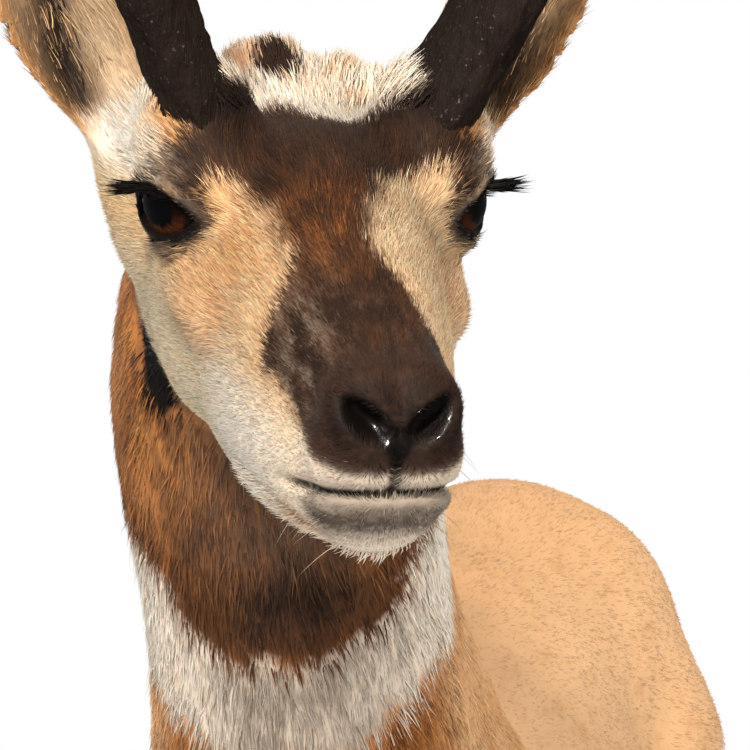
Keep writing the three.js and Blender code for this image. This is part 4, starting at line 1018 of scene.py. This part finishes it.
skinFaces = rowsOf(skin.data.polygons, "vertices", np.int64)


def store(obj, key, kind, data):
    layer = obj.data.attributes.new(key, kind, "POINT")
    layer.data.foreach_set("value" if kind == "FLOAT" else "vector", np.asarray(data, np.float32).ravel())


def setWet(obj, points):
    q = toHead(points)
    r = folded(q)
    wet = wetness(q) * (q[:, 1] > -60) * (r[:, 0] < 120) * (np.abs(q[:, 2]) < 120)
    store(obj, "wet", "FLOAT", wet)


def bareness(q, wHead):  # the wet nostrils and groove of the nose, the mouth line and the lids carry no tufts
    r = folded(q)
    _, f, u = r.T
    mouth = bump(u, mouthLevel(f) + 1, 2.6) * ramp(f, 140, 150) * 1.5
    return np.clip(np.maximum.reduce([fall(lidGap(r), 1.8, 3.4), mouth, wetness(q)]), 0, 1) * wHead


def coatLie(p, q, w):  # the way the hair lies over each part
    wHead, wEar, wLeg, wNeck, wTail = w
    lie = np.tile([0.0, 0.85, -0.35], (len(p), 1))
    lie[:, 2] -= 0.5 * ramp(-p[:, 2], -720, -600)
    lie = toward(lie, -neckWay[neckStation(p)] + [0, 0.15, 0], wNeck)
    lie = toward(lie, np.array([0, 0.08, -1.0]), wLeg)
    lie = toward(lie, unit([0, 0.45, -0.9]), wTail)
    s, f, u = q.T
    ones = np.ones(len(q))
    back = np.stack([np.sign(s) * 0.15 * ramp(np.abs(s), 5, 30), -ones, -0.35 * ramp(-u, 0, 40)], 1)
    crown = np.stack([s * 0.004, -0.8 * ones, 0.25 * ones], 1)
    back = toward(back, crown, ramp(u, 20, 40) * ramp(-f, -30, 10))
    lie = toward(lie, unit(back @ headAxes), wHead)
    for side in (1, -1):
        lie = toward(lie, earAxes(side)[1] @ headAxes, wEar * (s * side > 0))
    return unit(lie)


# Each part's root and tip scale its tufts' colour from root to tip; the darker roots are painted shade
# between the hairs
coatParts = dict(
    body=dict(slot="body_coat", area=9, length=14, width=1.1, lift=10, root=0.86, tip=1.06, uneven=0.07),
    neck=dict(slot="neck_coat", area=2.6, length=12, width=0.8, lift=14, root=0.72, tip=1.18, uneven=0.19),
    legs=dict(slot="leg_coat", area=10, length=9, width=1.1, lift=9, root=0.84, tip=1.06, uneven=0.08),
    head=dict(slot="face_coat", area=0.84, length=8.5, width=0.62, lift=15, root=0.66, tip=1.2, uneven=0.28),
    ear=dict(slot="ear_coat", area=1.8, length=8, width=0.6, lift=8, root=0.84, tip=1.08, uneven=0.13),
)
# Longer hair that stands over the coat, by the place it grows in. Its root and tip scale its colour as above,
# the darker roots being painted shade.
lockParts = dict(
    mane=dict(slot="neck_coat", area=4, length=58, width=1.4, lift=40, root=0.6, tip=1.0, uneven=0.2),
    rump=dict(slot="body_coat", area=7, length=30, width=1.2, lift=18, root=0.94, tip=1.04, uneven=0.05),
    tail=dict(slot="body_coat", area=5, length=34, width=1.3, lift=20, root=0.75, tip=1.05, uneven=0.15),
    throat=dict(slot="neck_coat", area=16, length=16, width=0.8, lift=18, root=0.74, tip=1.12, uneven=0.16),
    beard=dict(slot="face_coat", area=2.2, length=12, width=0.55, lift=26, root=0.8, tip=1.1, uneven=0.12),
    crown=dict(slot="face_coat", area=1.8, length=11, width=0.65, lift=30, root=0.84, tip=1.08, uneven=0.14),
    hornBase=dict(slot="face_coat", area=1.5, length=13, width=0.6, lift=34, root=0.7, tip=1.2, uneven=0.2),
    brow=dict(slot="face_coat", area=1.1, length=8, width=0.5, lift=26, root=0.8, tip=1.12, uneven=0.16),
    earHair=dict(slot="ear_coat", area=7, length=15, width=0.5, lift=17, root=0.84, tip=1.1, uneven=0.16),
)
# Where a tuft has its rings of three points, along its length and how wide: lying hair, then locks
tuftRings = (((0.0, 1.0),), ((0.0, 0.8), (0.45, 1.0)))
tuftForm = dict(sway=0.12, drift=0.3, steep=(0.6, 1.5), bow=0.35, knee=0.45, under=0.4, sunk=0.05, ridge=0.8)
coatPieceMost = 190000
growForm = dict(length=(0.65, 1.25), width=(0.7, 1.3), apart=dict(face=1.5, body=3.0), raised=0.14, most=6)
tuftPatch = 0.0015  # how much of the sheet a tuft covers


def scatter(rng, faces, area):  # points spread over faces, one to each area
    a, b, c = (skinPoints[faces[:, k]] for k in range(3))
    size = np.linalg.norm(np.cross(b - a, c - a), axis=1) / 2
    which = np.repeat(np.arange(len(faces)), rng.poisson(size / area))
    r = np.sqrt(rng.random(len(which)))
    t = rng.random(len(which))
    weights = np.stack([1 - r, r * (1 - t), r * t], 1)[:, :, None]
    corner = faces[which]
    return (skinPoints[corner] * weights).sum(1), unit((skinNormals[corner] * weights).sum(1))


def tufts(rng, spot, normal, lie, length, width, lift, rings):
    form = tuftForm
    flat = unit(lie - normal * (lie * normal).sum(1, keepdims=True))
    sway = rng.normal(0, form["sway"], (len(spot), 1)) + form["drift"] * softNoise(spot, 14, 2, 31)[:, None]
    flat = unit(flat + np.cross(normal, flat) * sway)
    side = np.cross(normal, flat)
    rise = np.radians(lift * rng.uniform(*form["steep"], len(spot)))[:, None]
    first, second = (flat * np.cos(rise * k) + normal * np.sin(rise * k) for k in (1, form["bow"]))
    long, half = length[:, None], width[:, None] * 0.5
    base = spot - normal * (form["under"] + form["sunk"] * long)
    points, facing = [], []
    for t, k in rings:
        c = base + first * (long * t)
        points += [c - side * half * k, c + side * half * k, c + normal * half * form["ridge"] * k]
        facing += [normal - 0.7 * side, normal + 0.7 * side, normal + 0.1 * first]
    points.append(base + first * (long * form["knee"]) + second * (long * (1 - form["knee"])))
    facing.append(normal + 0.35 * flat)
    sides = ((0, 1), (1, 2), (2, 0))
    faces = []
    if len(rings) > 1:
        for a, b in sides:
            faces += [(a, b, 3 + b), (a, 3 + b, 3 + a)]
    last = 3 * len(rings)
    faces += [(last - 3 + a, last - 3 + b, last) for a, b in sides]
    along = np.append(np.repeat([t for t, _ in rings], 3), 1.0)
    return np.stack(points, 1), np.stack(facing, 1), np.array(faces), along


# Corner and size of each part's frame on the sheet: torso, neck, head, ears, legs and tail
sheetFrames = ((0, 0, 0.48, 0.4), (0.5, 0, 0.48, 0.4), (0, 0.42, 0.48, 0.3), (0.5, 0.42, 0.14, 0.3),
               (0.66, 0.42, 0.14, 0.3), *((0.2 * k, 0.74, 0.18, 0.25) for k in range(4)),
               (0.82, 0.42, 0.16, 0.2))
sheetEdge = 0.004


def unwrapSkin(p):  # each part's skin rolled out flat, in its own frame of the sheet
    d = anatomy(p)
    q = toHead(p)
    t, around = neckPlace(p)
    names = ("torso", "neck", "skull", *earSides, *legSpots, "tail")
    nearest = np.argmin(np.stack([np.abs(d[n]) for n in names]), axis=0)
    rolls = [(np.arctan2(p[:, 0], p[:, 2] - 700), (p[:, 1] + 460) / 960),
             (around, np.clip(t, -0.3, 1.2) / 1.6 + 0.22),
             (np.arctan2(q[:, 0], q[:, 2] + 15), (q[:, 1] + 125) / 330)]
    for side in earSides.values():
        a, l, face = earPlace(q, side)
        rolls.append((np.arctan2(a, face), (l + 30) / 200))
    for limb, side, step in legSpots.values():
        balls = np.array(sorted(stepped(limb, side, step), key=lambda ball: ball[2]))
        cx, cy = (np.interp(p[:, 2], balls[:, 2], balls[:, k]) for k in (0, 1))
        rolls.append((np.arctan2(p[:, 0] - cx, p[:, 1] - cy), p[:, 2] / 760))
    rolls.append((np.arctan2(p[:, 0], p[:, 1] - 455), (p[:, 2] - 660) / 190))
    uv = np.zeros((len(p), 2))
    for k, ((turn, v), (x, y, w, h)) in enumerate(zip(rolls, sheetFrames)):
        mine = nearest == k
        u = turn[mine] / math.tau + 0.5
        uv[mine, 0] = x + sheetEdge + np.clip(u, 0, 1) * (w - 2 * sheetEdge)
        uv[mine, 1] = y + sheetEdge + np.clip(v[mine], 0, 1) * (h - 2 * sheetEdge)
    return uv


def coatPiece(name, points, normals, faces, along, colours, roots, form):
    n, k, _ = points.shape
    index = (np.arange(n)[:, None, None] * k + faces[None]).reshape(-1, 3)
    mesh = bpy.data.meshes.new(name)
    mesh.vertices.add(n * k)
    mesh.vertices.foreach_set("co", toWorld(points.reshape(-1, 3)).ravel())
    mesh.loops.add(len(index) * 3)
    mesh.loops.foreach_set("vertex_index", index.ravel().astype(np.int32))
    mesh.polygons.add(len(index))
    mesh.polygons.foreach_set("loop_start", np.arange(0, len(index) * 3, 3, dtype=np.int32))
    mesh.update(calc_edges=True)
    mesh.shade_smooth()
    mesh.normals_split_custom_set_from_vertices(unit(normals.reshape(-1, 3)).tolist())
    obj = newObject(name, mesh)
    # painted shade: each tuft is darker at its root, where the hairs shade each other, and lighter at its tip
    shade = form["root"] + (form["tip"] - form["root"]) * along
    setColours(obj, np.clip((colours[:, None, :] * shade[None, :, None]).reshape(-1, 3), 0, 1))
    turn = np.arange(k) * 2.4
    spread = np.stack([np.cos(turn), np.sin(turn)], 1) * tuftPatch
    uv = (unwrapSkin(roots)[:, None, :] + spread[None]).reshape(-1, 2)
    layer = mesh.uv_layers.new(name="OFBake")
    layer.data.foreach_set("uv", uv[index.ravel()].astype(np.float32).ravel())
    mesh.materials.append(coatMaterial)
    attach(obj, "root")
    return obj


coatMaterial = furMaterial("coat_hair", 0.04)
skinMaterial = furMaterial("coat_skin", 0.02)


def lockPlaces(p, q, w):  # where each kind of longer hair grows
    wHead, wEar, _, wNeck, wTail = w
    r = folded(q)
    s, f, u = r.T
    t, around = neckPlace(p)
    side = np.abs(around) / math.pi
    ears = np.zeros(len(p))
    for k in (1, -1):
        a, l, d = earPlace(q, k)
        ears = np.maximum(ears, (q[:, 0] * k > 0) * (np.abs(a) < 19) * ramp(l, 12, 25)
                          * fall(l, 110, 140) * (d > -12))
    return dict(
        mane=wNeck * ramp(side, 0.86, 0.95) * ramp(t, 0.36, 0.44) * fall(t, 0.86, 0.94) * (1 - wHead),
        rump=ramp(p[:, 1], 366, 392) * ramp(p[:, 2], 560, 620) * (np.abs(p[:, 0]) < 112) * (1 - wTail),
        tail=wTail,
        throat=wNeck * fall(side, 0.2, 0.5) * ramp(t, 0.3, 0.4) * (1 - wHead),
        beard=wHead * ramp(-u, 52, 66) * ramp(f, 60, 120),
        crown=wHead * (1 - wEar) * fall(f, -42, -26) * ramp(f, -96, -84) * ramp(u, 8, 24) * (s < 40),
        hornBase=wHead * near(r, (49, -12, 54), 26) * (f < 30),
        brow=wHead * np.maximum(near(r, (69, 6, 30), 15), near(r, (62, 24, -6), 12)),
        earHair=ears * wEar,
    )


tintForm = dict(patchy=0.1, patch=5, warm=0.04, cool=-1.2, darkShare=0.08, darker=2.6)


def hairTints(rng, spot, spread, jitter):  # the coat's colour at each root, markings with their painted shade and light, each hair a little its own
    form, one = tintForm, (len(spot), 1)
    colour = coatColour(spot + rng.normal(0, jitter, spot.shape))
    patches = softNoise(spot, form["patch"], 2)[:, None]
    shade = np.exp(rng.normal(0, spread, one) + form["patchy"] * patches)
    warm = rng.normal(0, form["warm"], one) * np.array([1.0, 0, form["cool"]])
    dark = np.where(rng.random(one) < form["darkShare"], np.exp(-form["darker"] * spread), 1.0)
    return np.clip(colour * shade * dark * (1 + warm), 0, 1)


def growPart(rng, name, form, chosen, rings):
    spot, normal = scatter(rng, skinFaces[chosen], form["area"])
    n = len(spot)
    if not n:
        return 0
    q, *w = regions(spot, anatomy(spot))
    length = form["length"] * rng.uniform(*growForm["length"], n)
    width = form["width"] * rng.uniform(*growForm["width"], n)
    lift = np.full(n, float(form["lift"]))
    lie = coatLie(spot, q, w)
    if name == "head":
        small = 1 - 0.45 * ramp(q[:, 1], 70, 150)
        length *= small * (0.4 + 0.6 * ramp(lidGap(folded(q)), 2, 14))
        width *= 0.4 + 0.6 * small
    if name in ("neck", "throat", "mane"):
        length *= 1 + 0.35 * softNoise(spot, 30, 2)
        lift *= 1 + 0.5 * softNoise(spot, 24, 2, 3)
    if name in ("hornBase", "crown"):
        rise = np.stack([0.35 * np.sign(q[:, 0]), np.where(q[:, 1] > -30, 0.1, -0.5), np.ones(n)], 1)
        lie = unit(rise @ headAxes) if name == "hornBase" else unit(lie + 0.8 * rise @ headAxes)
    points, facing, faces, along = tufts(rng, spot, normal, lie, length, width, lift, rings)
    onFace = form["slot"] in ("face_coat", "ear_coat")
    if onFace:  # in hollows a tuft that lies flat would sink, so its tip is raised
        sunk = growForm["raised"] * length - skinValue(points[:, -1])
        raised = normal * np.clip(sunk, 0, growForm["most"])[:, None]
        points[:, -1] += raised
        if len(rings) > 1:
            points[:, 3:6] += raised[:, None] * 0.4
    colour = hairTints(rng, spot, form["uneven"], growForm["apart"]["face" if onFace else "body"])
    pieces = max(1, math.ceil(n * len(faces) / coatPieceMost))
    order = np.argsort(spot[:, 1] + spot[:, 2] * 0.3)
    for number, mine in enumerate(np.array_split(order, pieces)):
        coatPiece("coat_%s_%d" % (name, number + 1), points[mine], facing[mine], faces, along, colour[mine],
                  spot[mine], form)
    log("%s coat: %d tufts" % (name, n))
    return n * len(faces)


def growCoat():
    rng = np.random.default_rng(seed)
    q, *w = regions(skinPoints, anatomy(skinPoints))
    wHead, wEar, wLeg, wNeck, _ = w
    part = np.zeros(len(skinPoints), int)
    for k, weight in enumerate((wNeck, wLeg, wHead, wEar)):
        part[weight > 0.5] = k + 1
    facePart = part[skinFaces].max(1)
    covered = bareness(q, wHead)[skinFaces].mean(1) < 0.5
    total = sum(growPart(rng, name, form, (facePart == k) & covered, tuftRings[0])
                for k, (name, form) in enumerate(coatParts.items()))
    places = lockPlaces(skinPoints, q, w)
    total += sum(growPart(rng, name, form, (places[name][skinFaces].mean(1) > 0.5) & covered, tuftRings[1])
                 for name, form in lockParts.items())
    log("coat of %d triangles" % total)


growCoat()
setColours(skin, skinColours)
setWet(skin, skinPoints)
reshape(skin.data, toWorld(skinPoints))
skin.data.materials.append(skinMaterial)
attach(skin, "root")
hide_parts("head", "neck", "torso", "tail", "ear_left", "ear_right", "leg_front_left",
            "leg_front_right", "leg_back_left", "leg_back_right")

eyeLook = dict(iris=12, pupilLong=8.6, pupilHigh=6, front=1.5, rings=48, sides=64,
               brown=tone(74, 36, 17), rim=tone(22, 14, 11), pupil=tone(4, 4, 6))


def makeEye(side, node):
    at, out, along, over = (v * [side, 1, 1] for v in (eyeAt, eyeOut, eyeAlong, eyeOver))
    rows, cols, r = eyeLook["rings"], eyeLook["sides"], eyeForm["radius"]
    a, b = (np.ravel(v)[:, None] for v in np.meshgrid(
        math.pi * np.arange(rows + 1) / rows, math.tau * np.arange(cols) / cols, indexing="ij"))
    x, y = np.sin(a) * np.cos(b), np.sin(a) * np.sin(b)
    bulge = 1 + eyeForm["bulge"] / r * np.exp(-(a / 0.42) ** 2)
    points = at + (out * np.cos(a) + along * x + over * y) * r * bulge
    away = np.hypot(r * x, r * y)
    pupil = np.hypot(r * x / eyeLook["pupilLong"], r * y / eyeLook["pupilHigh"])
    streak = 0.85 + 0.2 * np.sin(b * 31 + 2 * np.sin(b * 9))
    # painted shade: the iris darkens towards its top, under the upper lid
    shade = 0.08 + 0.92 * ramp(-r * y, -3, 7)
    iris = eyeLook["brown"] * streak * shade * (0.5 + 0.5 * np.minimum(away / eyeLook["iris"], 1))
    colours = np.where(away > eyeLook["iris"], eyeLook["rim"], iris)
    colours = np.where((pupil < 1) & (a < eyeLook["front"]), eyeLook["pupil"], colours)
    k = np.arange(rows * cols)
    after = np.where(k % cols == cols - 1, k + 1 - cols, k + 1)
    faces = np.stack([k, k + cols, after + cols, after], 1)[:, ::side]
    obj = meshOf(node.replace("eye", "eyeball"), toWorld(fromHead(points)), faces.tolist())
    rework(obj.data, turnOut)
    return obj, colours


def eyeMaterial():
    m = Finish("eye_wet")
    cloud = m.noise(700)
    tinted = m.mix(cloud * 0.4, m.stored("coatColour", "Color"), (0.6, 0.5, 0.45), "MULTIPLY")
    return m.surface(Base_Color=tinted, Roughness=0.12 + 0.05 * cloud, Coat_Weight=0.8, Coat_Roughness=0.02,
                     Specular_IOR_Level=0.12)


wet = eyeMaterial()
for side, node in ((1, "eye_left"), (-1, "eye_right")):
    ball, tints = makeEye(side, node)
    setColours(ball, tints)
    ball.data.materials.append(wet)
    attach(ball, "root")
    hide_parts(node)
log("eyes done")


hairData = dict(way="FLOAT_VECTOR", rise="FLOAT_VECTOR", size="FLOAT")


def hairTree():  # one curved, tapering hair on every root, turned its own way
    tree = bpy.data.node_groups.new("hairs", "GeometryNodeTree")
    for name, kind in dict(Roots="Geometry", Thickness="Float", Curl="Float", Look="Material").items():
        tree.interface.new_socket(name, in_out="INPUT", socket_type="NodeSocket" + kind)
    tree.interface.new_socket("Hairs", in_out="OUTPUT", socket_type="NodeSocketGeometry")
    b = Board(tree)
    given = tree.nodes.new("NodeGroupInput")
    roots, thickness, curl, look = (Tie(b, given.outputs[k]) for k in range(4))
    hair = b.node("GeometryNodeMeshCone", Vertices=5, Side_Segments=5, Radius_Bottom=thickness, Depth=1.0)
    along = b.node("ShaderNodeSeparateXYZ", out=2, Vector=b.node("GeometryNodeInputPosition"))
    bend = b.node("ShaderNodeCombineXYZ", X=curl * along * along)
    hair = b.node("GeometryNodeSetPosition", Geometry=hair, Offset=bend)
    way, rise, size = (b.node("GeometryNodeInputNamedAttribute", {"data_type": kind}, Name=name)
                       for name, kind in hairData.items())
    turn = b.node("FunctionNodeAlignRotationToVector", {"axis": "Z"}, Vector=way)
    turn = b.node("FunctionNodeAlignRotationToVector", {"axis": "X", "pivot_axis": "Z"}, Rotation=turn,
                  Vector=rise)
    uneven = b.node("FunctionNodeRandomValue", {"data_type": "FLOAT"}, out=1, _2=0.75, _3=1.15, Seed=seed)
    hairs = b.node("GeometryNodeInstanceOnPoints", Points=roots, Instance=hair, Rotation=turn,
                   Scale=size * uneven)
    hairs = b.node("GeometryNodeRealizeInstances", Geometry=hairs)
    hairs = b.node("GeometryNodeSetShadeSmooth", Geometry=hairs)
    hairs = b.node("GeometryNodeSetMaterial", Geometry=hairs, Material=look)
    tree.links.new(hairs.socket, tree.nodes.new("NodeGroupOutput").inputs[0])
    return tree


def settle(obj, modifier):  # keeps what a modifier makes, and takes the modifier away
    shaped = bpy.data.meshes.new_from_object(obj.evaluated_get(bpy.context.evaluated_depsgraph_get()))
    obj.modifiers.remove(modifier)
    obj.data = shaped


def growHairs(name, roots, ways, rises, sizes, form, look):
    obj = meshOf(name, toWorld(roots), [], False)
    for (key, kind), data in zip(hairData.items(), (ways, rises, np.asarray(sizes) * mm)):
        store(obj, key, kind, data)
    grower = obj.modifiers.new("grow", "NODES")
    grower.node_group = hairs
    given = dict(Thickness=form["thick"], Curl=form["curl"], Look=look)
    for item in hairs.interface.items_tree:
        if item.name in given:
            grower[item.identifier] = given[item.name]
    settle(obj, grower)
    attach(obj, "root")


def darkHair(name, colour):
    m = Finish(name)
    grain = m.noise(500)
    return m.surface(Base_Color=m.mix(grain, colour * 0.7, colour), Roughness=0.45 + 0.2 * grain,
                     Specular_IOR_Level=0.3)


hairs = hairTree()
lashForm = dict(count=200, longest=19, thick=0.032, curl=0.16, first=-0.8, last=0.6)
whiskerForm = dict(count=26, longest=24, thick=0.009, curl=0.2)
lashLook = darkHair("lash_black", tone(14, 10, 9))
whiskerLook = darkHair("whisker_pale", tone(190, 176, 158))


def makeLashes(side, name):  # along the outer part of the upper lid
    rng = np.random.default_rng(seed + 5)
    x = np.linspace(lashForm["first"], lashForm["last"], lashForm["count"])
    k = lidForm["corner"]
    rim = lidForm["high"] * (1 - np.abs(x) ** k) ** (1 / k) + rng.uniform(0.4, 2.2, len(x))
    flat = np.outer(x * lidForm["long"], eyeAlong) + np.outer(rim, eyeOver)
    reach = eyeForm["radius"] + 0.6
    v = flat + np.outer(np.sqrt(np.maximum(reach ** 2 - (flat ** 2).sum(1), 9)), eyeOut)
    way = unit(0.6 * unit(v) + 0.6 * eyeOut - 0.35 * eyeOver - 0.5 * eyeAlong
               + rng.normal(0, 0.1, v.shape))
    size = lashForm["longest"] * (0.4 + 0.6 * bump(x, -0.3, 0.5))
    mirror = np.array([side, 1, 1])
    growHairs(name, fromHead((v + eyeAt) * mirror), headWay(way * mirror),
              headWay(np.tile(eyeOver * mirror, (len(x), 1))), size, lashForm, lashLook)


def makeWhiskers():
    rng = np.random.default_rng(seed + 9)
    n = whiskerForm["count"]
    side = np.where(np.arange(n) % 2, 1.0, -1.0)
    spot = np.stack([side * rng.uniform(14, 32, n), rng.uniform(146, 174, n), rng.uniform(-62, -20, n)], 1)
    spot = towardSkin(fromHead(spot), 6)
    q = toHead(spot)
    way = unit(np.stack([side * 0.9, 0.35 + 0 * side, -0.5 - 0.01 * (q[:, 2] + 40)], 1)
               + rng.normal(0, 0.12, (n, 3)))
    growHairs("whiskers", spot, headWay(way), np.tile([0, 0, -1.0], (n, 1)),
              whiskerForm["longest"] * rng.uniform(0.5, 1, n), whiskerForm, whiskerLook)


makeLashes(1, "lashes_left")
makeLashes(-1, "lashes_right")
makeWhiskers()
log("lashes and whiskers done")


def hornMaterial():
    m = Finish("horn_sheath")
    grooves = m.noise(260, 5.0, 0.65, (1.0, 1.0, 0.16))
    knots = m.noise(60)
    colour = m.mix(grooves, tone(8, 6, 5), tone(52, 37, 29))
    colour = m.mix(knots * 0.6, colour, tone(20, 15, 13))
    flecks = m.steps(m.noise(420, 4.0, 0.7), (0.0, 0), (0.62, 0), (0.68, 1))
    colour = m.mix(flecks * (knots ** 3.0) * 1.6, colour, tone(150, 136, 122))
    return m.surface(Base_Color=colour, Roughness=0.5 + 0.35 * grooves, Specular_IOR_Level=0.2,
                     Normal=m.bumped(grooves + 0.6 * knots, 1.0, 0.003))


def hoofMaterial():
    m = Finish("hoof_horn")
    bands = m.noise(60, 4.0, 0.5, (1.0, 1.0, 6.0))
    return m.surface(Base_Color=m.mix(bands, tone(22, 19, 18), tone(74, 62, 54)),
                     Roughness=0.35 + 0.3 * bands, Normal=m.bumped(bands, 0.5, 0.001))


def dress(mesh, material):
    mesh.materials.clear()
    mesh.materials.append(material)


hornLook = dict(smooth=3, ridge=1.2, knot=1.8)


def makeHorn(node, name):  # the solid's own shape, rounded, with the grooves of a real sheath
    obj = newObject(name, bpy.data.meshes.new(name))
    rework(bpy.data.objects[node].data, weld, into=obj.data)
    rounder = obj.modifiers.new("round", "SUBSURF")
    rounder.levels = rounder.render_levels = hornLook["smooth"]
    settle(obj, rounder)
    obj.data.shade_smooth()
    points, normals = (rowsOf(obj.data.vertices, key) for key in ("co", "normal"))
    q = toHead(points / mm - shift)
    around = np.arctan2(q[:, 1] + 15, np.abs(q[:, 0]) - 48 - 0.4 * (q[:, 2] - 40))
    grooves = softNoise(np.stack([around * 14, q[:, 2] * 0.1, q[:, 1] * 0.12], 1), 2.2, 3)
    out = (hornLook["ridge"] * grooves + hornLook["knot"] * softNoise(q, 15, 3, 8)) * mm
    reshape(obj.data, points + normals * out[:, None])
    dress(obj.data, hornSheath)
    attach(obj, "root")
    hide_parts(node)


hornSheath, hoofHorn = hornMaterial(), hoofMaterial()
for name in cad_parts:
    if name.startswith("horn"):
        makeHorn(name, name.replace("horn", "sheath"))
    if name.startswith("hoof"):
        dress(bpy.data.objects[name].data, hoofHorn)
log("horns and hooves done")

view = dict(at=(415.9, -2050.7, 1384.6), azimuth=12, elevation=10, focal=3595, across=750, sensor=36)
light = dict(sky=0.36, mirrored=0.05, backdrop=1.0)
lamps = dict(
    key=dict(spot=(-0.1, -3.1, 3.3), power=150, size=0.35, warmth=(1, 0.93, 0.83)),
    fill=dict(spot=(2.9, -1.6, 2.2), power=50, size=1.4, warmth=(1, 0.92, 0.8), glossy=False),
    side=dict(spot=(-2.4, -2.1, 1.5), power=20, size=1.2, warmth=(1, 0.94, 0.84), glossy=False),
    back=dict(spot=(0.8, 2.4, 2.6), power=48, size=1.4, glossy=False),
)
floorForm = dict(reach=2.3, corners=96)


def makeCamera():
    a, e = math.radians(view["azimuth"]), math.radians(view["elevation"])
    right = Vector((math.cos(a), math.sin(a), 0))
    ahead = Vector((-math.sin(a) * math.cos(e), math.cos(a) * math.cos(e), -math.sin(e)))
    data = bpy.data.cameras.new("camera")
    data.sensor_width = view["sensor"]
    data.lens = view["focal"] / view["across"] * view["sensor"]
    data.clip_end = 50
    camera = newObject("camera", data)
    camera.matrix_world = Matrix.Translation(Vector(toWorld(view["at"]))) @ Matrix(
        (right, right.cross(ahead), -ahead)).transposed().to_4x4()
    bpy.context.scene.camera = camera


def makeLamp(name, spot, power, size, aim=(0, -0.3, 1.1), warmth=(1, 1, 1), glossy=True):
    data = bpy.data.lights.new(name, "AREA")
    data.energy = power
    data.size = size
    data.color = warmth
    lamp = newObject(name, data)
    lamp.location = spot
    lamp.visible_glossy = glossy
    lamp.rotation_euler = (Vector(aim) - Vector(spot)).to_track_quat("-Z", "Y").to_euler()


def makeFloor():
    corners = floorForm["corners"]
    turns = [k * math.tau / corners for k in range(corners)]
    rim = [(floorForm["reach"] * math.cos(a), floorForm["reach"] * math.sin(a), 0) for a in turns]
    floor = meshOf("floor", rim, [tuple(range(corners))], False)
    floor.visible_glossy = False
    m = Finish("floor_pale")
    speck = m.noise(3)
    floor.data.materials.append(m.surface(
        Base_Color=m.mix(speck * 0.3, (0.9, 0.9, 0.9), (0.86, 0.86, 0.86)), Roughness=0.7 + 0.1 * speck))
    floor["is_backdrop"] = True


def makeSky():  # seen white by the camera, dimmer by what it lights
    world = bpy.data.worlds.new("studio")
    world.use_nodes = True
    b = Board(world.node_tree)
    sky = b.tree.nodes["Background"]
    sky.inputs[0].default_value = (1, 1, 1, 1)
    seen = b.node("ShaderNodeMapRange", _0=b.node("ShaderNodeLightPath", out="Is Camera Ray"),
                  _3=light["sky"], _4=light["backdrop"])
    glints = b.node("ShaderNodeMapRange", _0=b.node("ShaderNodeLightPath", out="Is Glossy Ray"), _3=seen,
                    _4=light["mirrored"])
    b.feed(sky.inputs[1], glints)
    bpy.context.scene.world = world
    bpy.context.scene.view_settings.view_transform = "Standard"


makeCamera()
makeFloor()
makeSky()
for name, form in lamps.items():
    makeLamp(name, **form)
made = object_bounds()
log("size %s" % [[round(c, 3) for c in v] for v in made])
